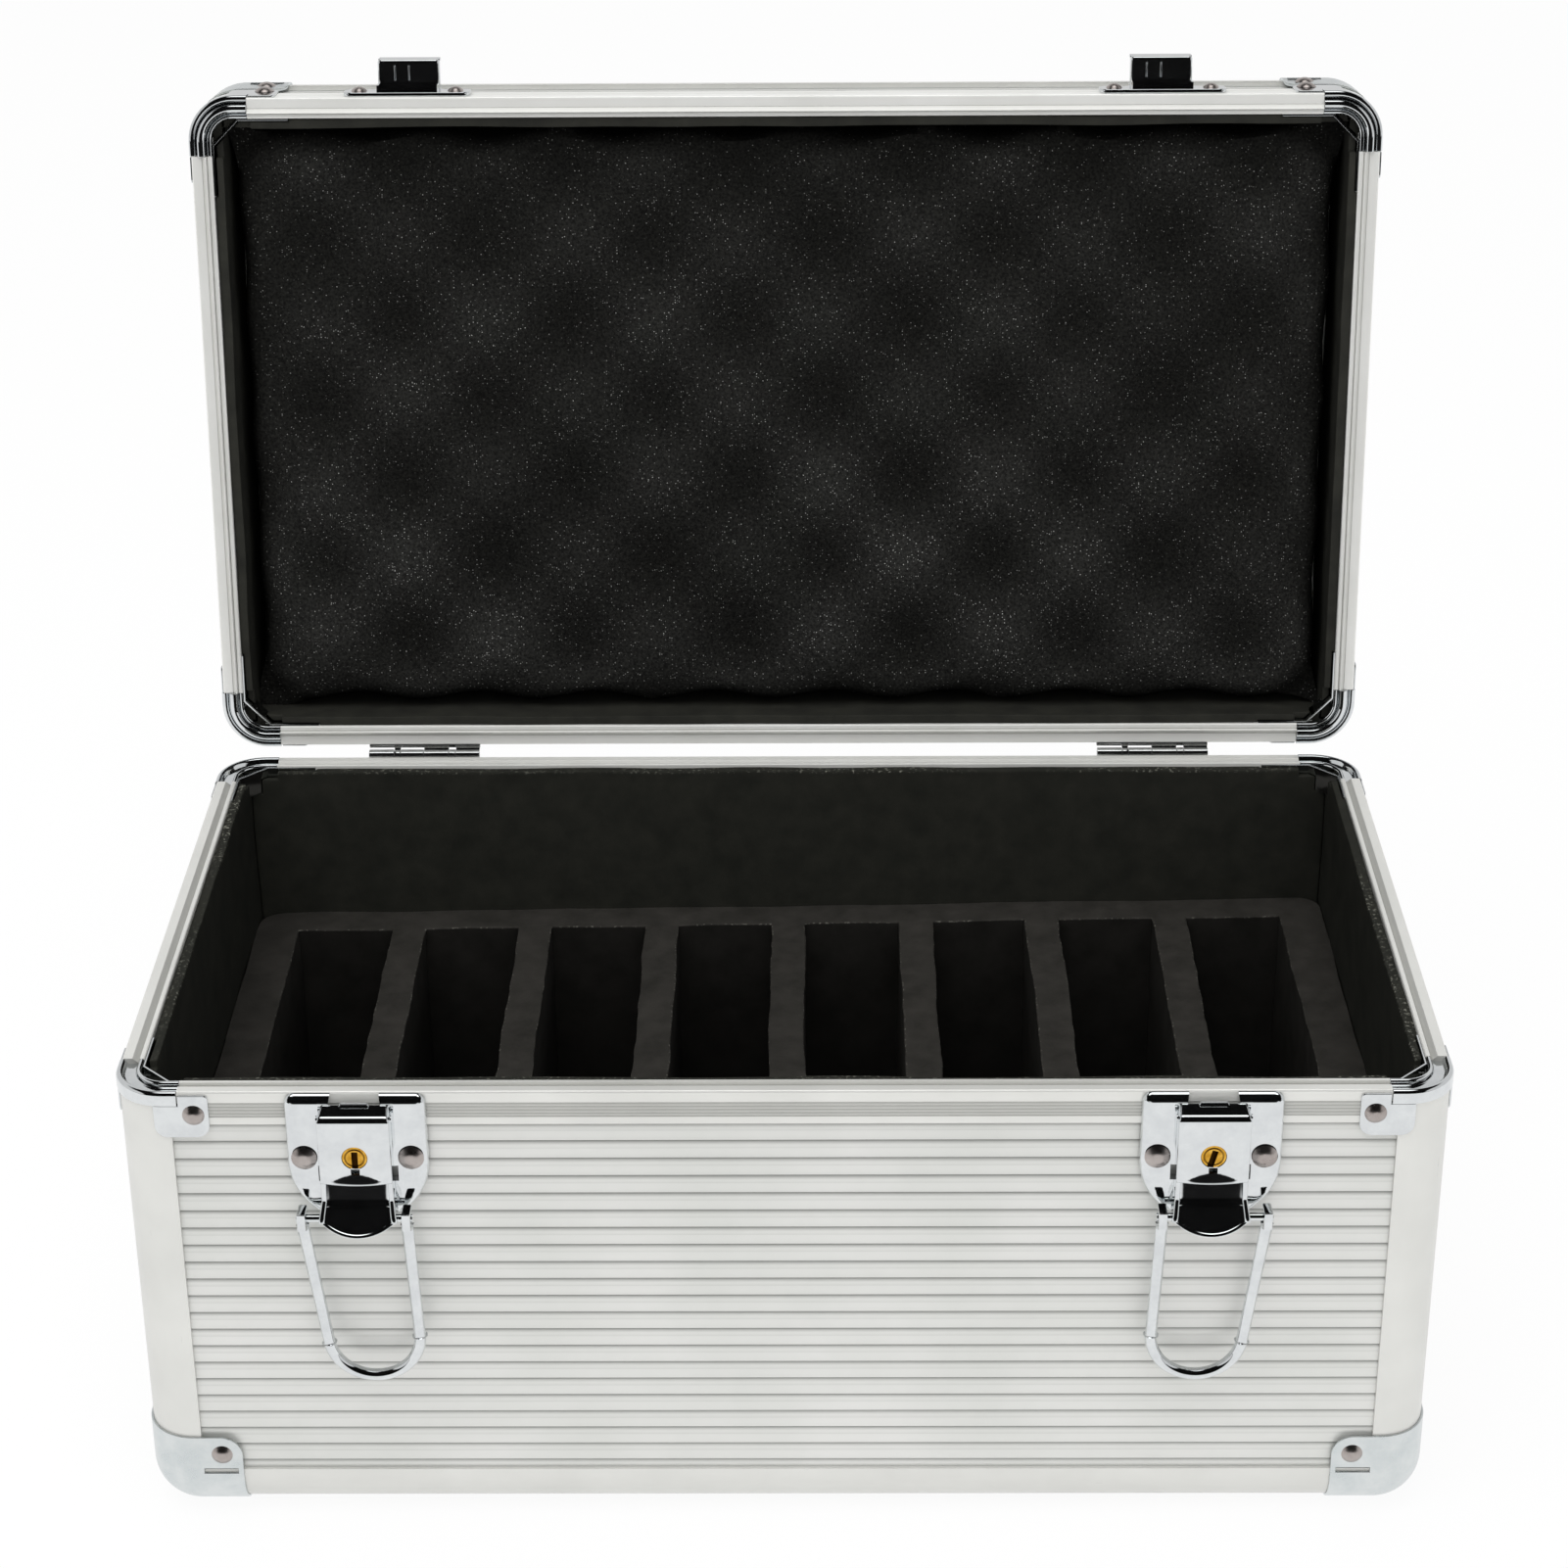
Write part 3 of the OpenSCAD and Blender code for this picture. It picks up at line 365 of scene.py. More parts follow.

# %% [markdown]
# ## Open-cell foam
#
# The lid's pad is open-cell foam. It is nearly black, and the struts between its cells
# glint: the glints are painted into the colour as tiny pale specks, most of them on the
# hills, and the hills' tops are painted lighter than the valleys. Thousands of small meshes
# could be the specks, but a cell pattern is lighter: it puts a dot in some of its cells,
# and each cell's own random colour and the height of the hill decide in which.

# %% Open-cell foam
CELL = 0.64 * MM
pad, tree, shader, place = new_material(
    "open_cell_foam", Roughness=0.95, IOR=1.45, Specular_IOR_Level=0.1)
# Painted glints: pale specks in some cells, more of them on the lit hills.
cells = add(tree, "ShaderNodeTexVoronoi", {"Vector": place, "Scale": 1 / CELL})
dot = add(tree, "ShaderNodeMapRange", {
    "Value": cells.outputs["Distance"], "From Min": 0.33, "From Max": 0.11
})
luck = add(tree, "ShaderNodeSeparateXYZ", {"Vector": cells.outputs["Color"]})
crest = add(tree, "ShaderNodeAttribute", attribute_name="hill")
chance = add(tree, "ShaderNodeMath", {
    0: crest.outputs["Fac"], 1: 0.30, 2: luck.outputs["X"]
}, operation="MULTIPLY_ADD")
bright = add(tree, "ShaderNodeMapRange", {
    "Value": chance.outputs["Value"], "From Min": 0.87, "From Max": 1.25
})
speck = add(tree, "ShaderNodeMath", {
    0: dot.outputs["Result"], 1: bright.outputs["Result"]
}, operation="MULTIPLY")
cloud = add(tree, "ShaderNodeTexNoise", {"Vector": place, "Scale": 1 / (0.8 * MM), "Detail": 3})
# Painted light: the hills' tops are lighter than the valleys.
valley = add(tree, "ShaderNodeValToRGB", {"Fac": cloud.outputs["Fac"]}, (
    (0.35, "#0c0c0b"), (0.7, "#191917")))
top = add(tree, "ShaderNodeValToRGB", {"Fac": cloud.outputs["Fac"]}, (
    (0.35, "#1f1f1e"), (0.7, "#373735")))
tone = add(tree, "ShaderNodeMix", {
    "Factor": crest.outputs["Fac"], "A": valley.outputs["Color"], "B": top.outputs["Color"]
}, data_type="RGBA")
mixed = add(tree, "ShaderNodeMix", {
    "Factor": speck.outputs["Value"], "A": tone.outputs["Result"], "B": colour("#c4c4c0")
}, data_type="RGBA")
bump = add(tree, "ShaderNodeBump", {
    "Height": cloud.outputs["Fac"], "Strength": 0.8, "Distance": 0.25 * MM
})
wire(tree, shader, {"Base Color": mixed.outputs["Result"], "Normal": bump.outputs["Normal"]})
print("foam cells", CELL / MM, "mm apart")

# %% [markdown]
# ## Moulded plastic
#
# The handle is moulded ABS. Its mould is spark-eroded, which leaves an even grain and a
# soft shine. One noise gives both the tone and the bump. It is 0.6 mm wide, a little
# coarser than the real grain, so that it still shows.

# %% Moulded plastic
plastic, tree, shader, place = new_material("moulded_black_plastic", Roughness=0.45, IOR=1.49)
grain = add(tree, "ShaderNodeTexNoise", {"Vector": place, "Scale": 1 / (0.6 * MM), "Detail": 3})
tone = add(tree, "ShaderNodeValToRGB", {"Fac": grain.outputs["Fac"]}, (
    (0.3, "#191919"), (0.7, "#212120")))
bump = add(tree, "ShaderNodeBump", {
    "Height": grain.outputs["Fac"], "Strength": 0.4, "Distance": 0.05 * MM
})
wire(tree, shader, {"Base Color": tone.outputs["Color"], "Normal": bump.outputs["Normal"]})
print("plastic has", len(tree.nodes), "nodes")

# %% [markdown]
# ## Which node wears what
#
# Every CAD node gets its finish now. Most are replaced by softer-edged copies below, which
# take the same material; those that are already right keep their mesh.

# %% Materials on the CAD nodes
def material_of(name):
    """The finish of a CAD node, from what the node is."""
    if "rivets" in name:
        return nickel
    if name == "lid_lining":
        return lid_sheet_painted_lighter
    if "lining" in name:
        return lining
    if name in ("foam_insert", "foam_base"):
        return insert
    if name == "lid_foam":
        return pad
    if "panel" in name or name == "lid_walls":
        return board
    if "lock_core" in name:
        return cores[name.split("_")[0]]
    if "ball_corner" in name:
        return satin
    if any(word in name for word in ("latch", "bail", "catch", "rim_corner")):
        return chrome
    if "hinge" in name or "bracket" in name:
        return steel
    if name == "handle":
        return plastic
    if name == "lid_rim_rails":
        return lid_metal_painted_lighter
    if name.endswith("post"):
        return along_z
    if name in ("left_base_rail", "right_base_rail", "left_rim_rail", "right_rim_rail", "lid_posts"):
        return along_y
    return along_x


for name, thing in nodes.items():
    thing.data.materials.clear()
    thing.data.materials.append(material_of(name))

# %% [markdown]
# ## Placing a piece
#
# Each new piece is drawn in a handy frame, put in its place in the mesh, and told which
# body carries it and which CAD node it stands for. Smooth shading would smear light
# across flat faces, so sharp edges are marked and the normals are weighted by area.

# %% Piece helpers
def add_piece(name, shape, node, sharp=40):
    """Turns a bmesh into a piece that stands for a CAD node, with its body and finish."""
    if shape.calc_volume(signed=True) < 0:
        bmesh.ops.reverse_faces(shape, faces=shape.faces)
    for face in shape.faces:
        face.smooth = True
    for edge in shape.edges:
        edge.smooth = len(edge.link_faces) != 2 or edge.calc_face_angle(0) < math.radians(sharp)
    mesh = bpy.data.meshes.new(name)
    shape.to_mesh(mesh)
    shape.free()
    mesh.materials.append(material_of(node))
    piece = bpy.data.objects.new(name, mesh)
    scene.collection.objects.link(piece)
    weighted = piece.modifiers.new("weighted", "WEIGHTED_NORMAL")
    weighted.keep_sharp = True
    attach(piece, nodes[node]["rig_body"])
    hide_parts(node)
    return piece


# %% [markdown]
# ## Working on a mesh
#
# A few short helpers do what the pieces below need: copy a CAD solid and clean it, round
# its edges, push faces out, mirror by trading two axes, and join parts. They call mesh
# operators, which keep a solid closed where lists of points and faces easily go wrong.

# %% Mesh helpers
def copy_of(node):
    """A merged copy of a CAD node's mesh, with its flat faces whole again."""
    shape = bmesh.new()
    shape.from_mesh(nodes[node].data)
    for layer in list(shape.loops.layers.uv.values()):
        shape.loops.layers.uv.remove(layer)
    bmesh.ops.remove_doubles(shape, verts=shape.verts, dist=0.002 * MM)
    bmesh.ops.dissolve_limit(shape, angle_limit=math.radians(0.6), verts=shape.verts,
                             edges=shape.edges, use_dissolve_boundaries=False)
    return shape


def face_outward(shape):
    """Turns every face of a closed mesh outward."""
    bmesh.ops.recalc_face_normals(shape, faces=shape.faces)


def bevel(shape, edges, width, segments, clamp=False):
    """Rounds the edges given."""
    bmesh.ops.bevel(shape, geom=edges, offset=width, offset_type="OFFSET", segments=segments,
                    profile=0.5, material=-1, affect="EDGES", clamp_overlap=clamp)


def round_edges(shape, width, segments=2, angle=30, chosen=lambda edge: True):
    """Rounds the edges that turn by more than an angle, and counts them."""
    edges = [
        e for e in shape.edges
        if len(e.link_faces) == 2 and e.calc_face_angle(0) > math.radians(angle) and chosen(e)
    ]
    bevel(shape, edges, width, segments)
    return len(edges)


def push(shape, faces, way):
    """Extrudes faces along a vector, and gives their new corners and faces."""
    made = bmesh.ops.extrude_face_region(shape, geom=faces)["geom"]
    corners = [item for item in made if isinstance(item, bmesh.types.BMVert)]
    bmesh.ops.translate(shape, verts=corners, vec=way)
    return corners, [item for item in made if isinstance(item, bmesh.types.BMFace)]


def swap_axes(first, second):
    """A matrix that trades two axes, which also mirrors what it moves."""
    order = [0, 1, 2]
    order[first], order[second] = second, first
    return Matrix([[float(k == place) for k in range(3)] for place in order]).to_4x4()


def joined(shapes):
    """One bmesh from several, which are freed."""
    whole = shapes[0]
    for shape in shapes[1:]:
        mesh = bpy.data.meshes.new("part")
        shape.to_mesh(mesh)
        shape.free()
        whole.from_mesh(mesh)
        bpy.data.meshes.remove(mesh)
    return whole


def between(value, low=0, high=1):
    """A value held between two limits."""
    return max(low, min(high, value))


print("trading y and z turns (1, 2, 3) into", tuple(swap_axes(1, 2) @ Vector((1, 2, 3))))

# %% [markdown]
# ## The shut lid as a drawing board
#
# The lid stands open by more than a right angle, which is an awkward frame to draw in.
# Its pieces are drawn as they lie on the shut case, and one matrix, a turn about the
# hinge, then opens them. The numbers come from the joint that the frame brings.

# %% Opening and shutting the lid
hinge = next(joint for joint in frame["joints"] if joint["name"] == "lid_hinge")
swing = Matrix.Rotation(math.radians(-hinge["range_deg"][1]), 4, hinge["axis"])
OPENED = Matrix.Translation(hinge["pos_m"]) @ swing @ Matrix.Translation(-Vector(hinge["pos_m"]))
SHUT = OPENED.inverted()


def shut_box(node):
    """A lid node's lowest and highest corners when the lid is shut."""
    points = [SHUT @ v.co for v in nodes[node].data.vertices]
    low = Vector(min(p[k] for p in points) for k in range(3))
    high = Vector(max(p[k] for p in points) for k in range(3))
    return low, high


for node in ("lid_rim_rails", "lid_walls", "lid_panel", "lid_foam", "lid_lining"):
    low, high = shut_box(node)
    print(node, [round(c / MM, 1) for c in (*low, *high)])

# %% [markdown]
# ## Extruding a section
#
# Boards and profiles are the same shape all along, so each one is a flat outline pushed
# along a wall. The outline's points are (inwards, up, groove): the third number goes into
# an attribute, 0 on the open face and 1 deep in a groove, and the materials darken with
# it as painted shade. The corners of the outline are rounded by bevelling the long edges.

# %% Sections along walls
WALLS = ("front", "right", "back", "left")


def section_piece(outline, length, rounds=()):
    """A bar along X with an outline of (inwards, up, groove) in millimetres."""
    shape = bmesh.new()
    groove = shape.verts.layers.float.new("groove")
    start = []
    for u, v, deep in outline:
        corner = shape.verts.new((-length / 2, u * MM, v * MM))
        corner[groove] = deep
        start.append(corner)
    ends, _ = push(shape, [shape.faces.new(start)], (length, 0, 0))
    for end in ends:
        twin = next(e.other_vert(end) for e in end.link_edges if e.other_vert(end) not in ends)
        end[groove] = twin[groove]
    face_outward(shape)
    for radius, corners in rounds:
        edges = [
            e for e in shape.edges if abs(e.verts[0].co.x - e.verts[1].co.x) > length / 2
            and any(math.dist(e.verts[0].co.yz, (u * MM, v * MM)) < 0.01 * MM for u, v in corners)
        ]
        bevel(shape, edges, radius * MM, 4, clamp=True)
    return shape


def wall_span(low, high, turns):
    """The length of a box's wall 0 front, 1 right, 2 back or 3 left, and how far out it is."""
    return (high - low)[turns % 2], (-low.y, high.x, high.y, -low.x)[turns]


def wall_matrix(turns, out):
    """The frame of a wall: along it, inwards and up."""
    return Matrix.Rotation(math.radians(90 * turns), 4, "Z") @ Matrix.Translation((0, -out, 0))


# %% [markdown]
# ## Ribbed boards
#
# A board's face is a row of planks, 5.4 mm each. A plank ends below in a fine proud lip,
# the next one starts deep under it and slopes back out, and halfway down runs a faint
# scored line. The lip takes the light and the step keeps the shade.

# %% Ribbed boards
RIB = 5.4
# The third numbers paint shade into the colour: darkest under the step, fading down the slope, faint at
# the scored line.
RIB_FACE = (
    (0.0, 0.95, 0.0), (-0.15, 0.4, 0.0), (-0.15, 0.12, 0.0), (0.04, 0.0, 0.3), (0.40, 0.0, 1.0),
    (0.38, -0.25, 0.75), (0.14, -0.75, 0.2), (0.0, -1.5, 0.0), (0.0, -2.3, 0.1), (0.04, -2.45, 0.2),
    (0.0, -2.7, 0.0),
)
ROOM_ABOVE, ROOM_BELOW = 1.3, 2.5
BOARD_DEPTH = 4
GROOVE_TOP = 18.3


def board_outline(low, high, first):
    """The outline of a board whose first groove's top is at a height, in millimetres."""
    points = [(0, high, 0)]
    count = int((high - first - ROOM_ABOVE) // RIB)
    for k in range(count, -1, -1):
        top = first + k * RIB
        if top - ROOM_BELOW > low:
            points += [(u, top + v, deep) for u, v, deep in RIB_FACE]
    return points + [(0, low, 0), (BOARD_DEPTH, low, 0), (BOARD_DEPTH, high, 0)]


def wall_board(turns, first, low, high, place=Matrix()):
    """A bmesh of one wall's board, put in its place."""
    length, out = wall_span(low, high, turns)
    shape = section_piece(board_outline(low.z / MM, high.z / MM, first), length)
    shape.transform(place @ wall_matrix(turns, out))
    return shape


for turns, side in enumerate(WALLS):
    node = f"{side}_panel"
    add_piece(f"{side}_board", wall_board(turns, GROOVE_TOP, *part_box(node)), node)
print("four ribbed walls")

# %% [markdown]
# ## The lid's and the floor's boards
#
# The lid's four walls are one low ring, so their boards are joined. Its top and the floor
# of the case are ribbed as well, but lie flat: such a board is drawn upright and laid
# down by trading its depth for its height.

# %% Lid and floor boards
LID_GROOVE_TOP = 149.7
LID_CORNER = 11.9 * MM
FLAT_GROOVE_TOP = 0.3 - 15 * RIB

low, high = shut_box("lid_walls")
walls = []
for turns in range(4):
    trim = Vector((0, LID_CORNER, 0) if turns % 2 else (LID_CORNER, 0, 0))
    walls.append(wall_board(turns, LID_GROOVE_TOP, low + trim, high - trim, OPENED))
add_piece("lid_wall_boards", joined(walls), "lid_walls")


def flat_board(low, high):
    """A board across the case, ribbed along X, whose ribs look down."""
    half = (high.y - low.y) / 2 / MM
    shape = section_piece(board_outline(-half, half, FLAT_GROOVE_TOP), high.x - low.x)
    shape.transform(swap_axes(1, 2))
    face_outward(shape)
    return shape


low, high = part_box("floor_panel")
shape = flat_board(low, high)
shape.transform(Matrix.Translation((0, 0, low.z)))
add_piece("floor_board", shape, "floor_panel")
low, high = shut_box("lid_panel")
shape = flat_board(low, high)
shape.transform(OPENED @ Matrix.Translation((0, 0, high.z)) @ Matrix.Rotation(math.pi, 4, "X"))
add_piece("lid_board", shape, "lid_panel")
print("lid and floor boards")

# %% [markdown]
# ## Rim profiles
#
# The rims of the body and the lid are extruded too, and they close into each other: the
# body's has a slanted groove between a broad outer bead and an inner lip, and the lid's a
# ridge that fits it. Down the outside run five decorative lines, 1 mm apart.

# %% Rim sections
# The third numbers paint shade into the colour, in the rim's groove and its decorative lines.
BODY_RIM = [
    (0.0, -10.0, 0), (0.0, 0.0, 0), (2.8, 0.0, 0), (3.0, -0.2, 0.3), (4.5, -1.4, 0.45),
    (4.7, -1.4, 0.9), (4.75, -0.9, 0.2), (4.8, 0.0, 0), (6.1, 0.0, 0), (6.1, -10.0, 0),
    (5.2, -10.0, 0), (5.2, -3.0, 0), (1.2, -3.0, 0), (1.2, -10.0, 0),
]
LID_RIM = [
    (0.0, -10.0, 0), (0.0, 0.0, 0), (2.9, 0.0, 0), (3.1, -0.1, 0.6), (3.3, 0.15, 0.5),
    (4.2, 1.1, 0.4), (4.3, 1.15, 0), (4.45, 1.1, 0), (4.55, 0.3, 0.1), (4.7, -0.15, 0.8),
    (4.9, 0.0, 0), (6.1, 0.0, 0), (6.1, -10.0, 0), (5.2, -10.0, 0), (5.2, -3.0, 0),
    (1.2, -3.0, 0), (1.2, -10.0, 0),
]
ROUND_BODY = ((0.65, ((0.0, 0.0),)), (0.4, ((6.1, 0.0),)), (0.2, ((0.0, -10.0),)))
ROUND_LID = ((0.5, ((0.0, 0.0), (6.1, 0.0))), (0.2, ((0.0, -10.0),)))
RIM_DEPTH = 10 * MM
RAIL_STOP = 17.1 * MM
LINES_TOP = -3.35
LINES = [(0.0, LINES_TOP + 0.6, 0)]
for k in range(5):
    top = LINES_TOP - k
    LINES += [(-0.08, top + 0.06, 0), (0.1, top - 0.08, 0.6), (0.15, top - 0.28, 0.5)]
LINES.append((0.0, LINES_TOP - 4.5, 0))
LINES.reverse()
print("a rim's section has", len(BODY_RIM) + len(LINES), "points, the lid's", len(LID_RIM) + len(LINES))

# %% [markdown]
# ## The rims round the case
#
# A rail runs along each wall, and the stamped corners cover its ends. The body has a
# piece for each rail. The lid's four are drawn upside down against the same plane, and
# joined, because they share a node.

# %% Rim profiles
def rim_bar(outline, rounds, length):
    """A rim profile with its decorative lines, drawn round its own rim's plane."""
    return section_piece(outline[:1] + LINES + outline[1:], length, rounds)


for turns, side in enumerate(WALLS):
    low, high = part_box(f"{side}_rim_rail")
    length, out = wall_span(low, high, turns)
    shape = rim_bar(BODY_RIM, ROUND_BODY, length)
    shape.transform(wall_matrix(turns, out) @ Matrix.Translation((0, 0, high.z)))
    add_piece(f"{side}_rim_profile", shape, f"{side}_rim_rail")

low, high = shut_box("lid_rim_rails")
rim_plane = high.z - RIM_DEPTH
bars = []
for turns in range(4):
    length, out = wall_span(low, high, turns)
    shape = rim_bar(LID_RIM, ROUND_LID, length - 2 * RAIL_STOP)
    shape.transform(Matrix.Diagonal((1, 1, -1, 1)))
    face_outward(shape)
    shape.transform(OPENED @ wall_matrix(turns, out) @ Matrix.Translation((0, 0, rim_plane)))
    bars.append(shape)
add_piece("lid_rim_profiles", joined(bars), "lid_rim_rails")
print("eight rim profiles")

# %% [markdown]
# ## The slotted insert
#
# The insert is a block of closed-cell foam with round outer corners and eight slots
# through it. A Boolean could cut the slots. Here the block starts as a cube, planes cut
# it along the slots, the cut-out squares go, and bridges make the slots' walls: that
# leaves only square faces, which the next step can cut into a net.

# %% Slotted block
SLOTS = 8
SLOT_WIDTH = 29 * MM
SLOT_LENGTH = 158 * MM
SLOT_PITCH = 39.4 * MM
CORNER = 7 * MM


def cut(shape, axis, places):
    """Cuts a mesh by planes square to an axis, at each place along it."""
    normal = Vector((axis == "X", axis == "Y", axis == "Z"))
    for place in places:
        bmesh.ops.bisect_plane(shape, geom=shape.verts[:] + shape.edges[:] + shape.faces[:],
                               plane_co=normal * place, plane_no=normal)


def rise(edge):
    """How far an edge climbs."""
    return abs(edge.verts[0].co.z - edge.verts[1].co.z)


low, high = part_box("foam_insert")
size = high - low
shape = bmesh.new()
bmesh.ops.create_cube(shape, size=1)
shape.transform(Matrix.Translation((low + high) / 2) @ Matrix.Diagonal((*size, 1)))
centres = [(k - (SLOTS - 1) / 2) * SLOT_PITCH for k in range(SLOTS)]
sides = [c + s * SLOT_WIDTH / 2 for c in centres for s in (-1, 1)]
cut(shape, "X", sides)
cut(shape, "Y", (-SLOT_LENGTH / 2, SLOT_LENGTH / 2))
for c in centres:
    caps = [
        f for f in shape.faces if abs(f.normal.z) > 0.9
        and math.dist(f.calc_center_median().xy, (c, 0)) < 1 * MM
    ]
    rims = [e for f in caps for e in f.edges]
    bmesh.ops.delete(shape, geom=caps, context="FACES_ONLY")
    bmesh.ops.bridge_loops(shape, edges=rims)
face_outward(shape)
uprights = [
    e for e in shape.edges if rise(e) > size.z / 2
    and abs(abs(e.verts[0].co.x) - high.x) < 0.1 * MM and abs(abs(e.verts[0].co.y) - high.y) < 0.1 * MM
]
bevel(shape, uprights, CORNER, 6, clamp=True)
round_edges(shape, 0.3 * MM, 2, 50, lambda e: rise(e) < 0.1 * MM)
print(len(centres), "slots, walls between them", round((SLOT_PITCH - SLOT_WIDTH) / MM, 1), "mm")

# %% [markdown]
# ## The insert's wear
#
# Foam is never quite true: the block has sunk a little on one side, and the knife has
# wandered along the slots and frayed their edges. Sculpting would do that once; cutting
# a net into the block and moving its points by smooth noise does it for any size.

# %% Foam insert
SUNK = 2.3 * MM
FRAY = 0.6 * MM
NET = (6 * MM, 3 * MM, 8 * MM)

net = [[low[k] + n * step for n in range(1, int(size[k] / step) + 1)] for k, step in enumerate(NET)]
cut(shape, "X", net[0] + [x + s * FRAY for x in sides for s in (-1, 1)])
cut(shape, "Y", net[1] + [s * (SLOT_LENGTH / 2 + FRAY) for s in (-1, 1)])
cut(shape, "Z", net[2] + [high.z - FRAY])
frayed = shape.verts.layers.float.new("frayed")
# The inside attribute is painted shade on the slots' walls, deeper on the end walls.
inside = shape.verts.layers.float.new("inside")
for v in shape.verts:
    lift = (v.co.z - low.z) / size.z
    off_side = min(abs(v.co.x - x) for x in sides)
    off_middle = min(abs(v.co.x - c) for c in centres)
    near_side = off_side < FRAY / 2 and abs(v.co.y) < SLOT_LENGTH / 2 + FRAY / 2
    near_end = abs(abs(v.co.y) - SLOT_LENGTH / 2) < FRAY / 2 and off_middle < SLOT_WIDTH / 2 + FRAY / 2
    ragged = 0
    if v.co.z > high.z - FRAY / 2 and (near_side or near_end):
        v[frayed] = 1
        ragged = 0.25 * MM
    elif near_side or near_end:
        v[inside] = 0.55 if near_end else 0.25
    wander = noise.noise_vector(v.co / (26 * MM)) * 0.6 * MM
    wander += noise.noise_vector(v.co / (5 * MM)) * (0.12 * MM + ragged)
    v.co += Vector((wander.x, wander.y, 0)) * lift
    v.co.z += lift * (SUNK * v.co.x / high.x + 0.5 * wander.z)
piece = add_piece("slotted_foam_block", shape, "foam_insert")
print(piece.name, len(piece.data.polygons), "faces")

# %% [markdown]
# ## Lining and base sheets
#
# The lining is cut from the same foam in sheet. It follows the walls loosely, so its
# faces are a little wavy. The copies of the CAD solids are cut into a net and moved by
# smooth noise, no more than a fraction of a millimetre, and their cut top edge frays.

# %% Linings
CUT_EDGE = 0.9 * MM


def wavy_copy(node, step, amount, place=Matrix(), inner_round=0):
    """A soft copy of a sheet node, drawn in a frame and put back by place."""
    shape = copy_of(node)
    shape.transform(place.inverted())
    outer = max(v.co.x for v in shape.verts) - 1 * MM
    if inner_round:
        round_edges(shape, inner_round, 6, 60, lambda e: 20 * MM < rise(e) < 60 * MM and all(
            abs(v.co.x) < outer for v in e.verts))
    round_edges(shape, 0.5 * MM, 2, 50)
    for k, axis in enumerate("XYZ"):
        low = min(v.co[k] for v in shape.verts)
        high = max(v.co[k] for v in shape.verts)
        count = int((high - low) / step)
        cut(shape, axis, [low + (n + 0.5) * (high - low) / max(count, 1) for n in range(count)])
    cut(shape, "Z", [high - CUT_EDGE])
    frayed = shape.verts.layers.float.new("frayed")
    for v in shape.verts:
        if v.co.z > high - CUT_EDGE * 2 / 3:
            v[frayed] = between(0.35 + 1.1 * noise.noise(v.co / (45 * MM)))
        v.co += noise.noise_vector(v.co / (30 * MM)) * amount
    shape.transform(place)
    return shape


shape = wavy_copy("body_lining", 8 * MM, 0.5 * MM)
add_piece("body_lining_sheets", shape, "body_lining")
shape = wavy_copy("foam_base", 12 * MM, 0.2 * MM)
add_piece("base_sheet", shape, "foam_base")
shape = wavy_copy("lid_lining", 8 * MM, 0.5 * MM, OPENED, inner_round=10 * MM)
add_piece("lid_lining_sheets", shape, "lid_lining")
print("three linings")

# %% [markdown]
# ## The lid's egg-crate pad
#
# The lid is padded with convoluted foam: a sheet squeezed between toothed rollers while
# a blade splits it, which leaves rows of soft hills. The sheet is a fine grid, so that
# the hills come out round, with walls pushed up from its border and a back to close it.

# %% Pad sheet
low, high = shut_box("lid_foam")
size = high - low
middle_y = (low.y + high.y) / 2
shape = bmesh.new()
bmesh.ops.create_grid(shape, x_segments=164, y_segments=90, size=0.5)
shape.transform(Matrix.Translation((0, middle_y, low.z)) @ Matrix.Diagonal((*size.xy, 1, 1)))
rim = [e for e in shape.edges if len(e.link_faces) == 1]
walls = bmesh.ops.extrude_edge_only(shape, edges=rim)["geom"]
back = [item for item in walls if isinstance(item, bmesh.types.BMVert)]
bmesh.ops.translate(shape, verts=back, vec=(0, 0, size.z))
bmesh.ops.contextual_create(shape, geom=[e for e in shape.edges if len(e.link_faces) == 1])
print("pad sheet", [round(c / MM, 1) for c in size], "mm,", len(shape.faces), "faces")

# %% [markdown]
# ## The pad's hills and border
#
# The hills stand an inch apart and staggered, and the product of two cosines is that
# surface. The corners are round and the edge is soft. The border is hand-cut, so it
# waves, and the pad's foot spreads out to the lining, so that no board shows behind it.

# %% Lid pad
HILL = (25.6 * MM, 24.9 * MM)
HILL_AT = (-13.6 * MM, -54.4 * MM)
HILL_RISE = 2.6 * MM
PAD_CORNER = 14 * MM
PAD_EDGE = 7 * MM
PAD_DROP = 4 * MM
LINING_DEPTH = 2.9 * MM
LINING_GAP = 0.8 * MM
BORDER_WAVE = (37 * MM, 1.3 * MM)

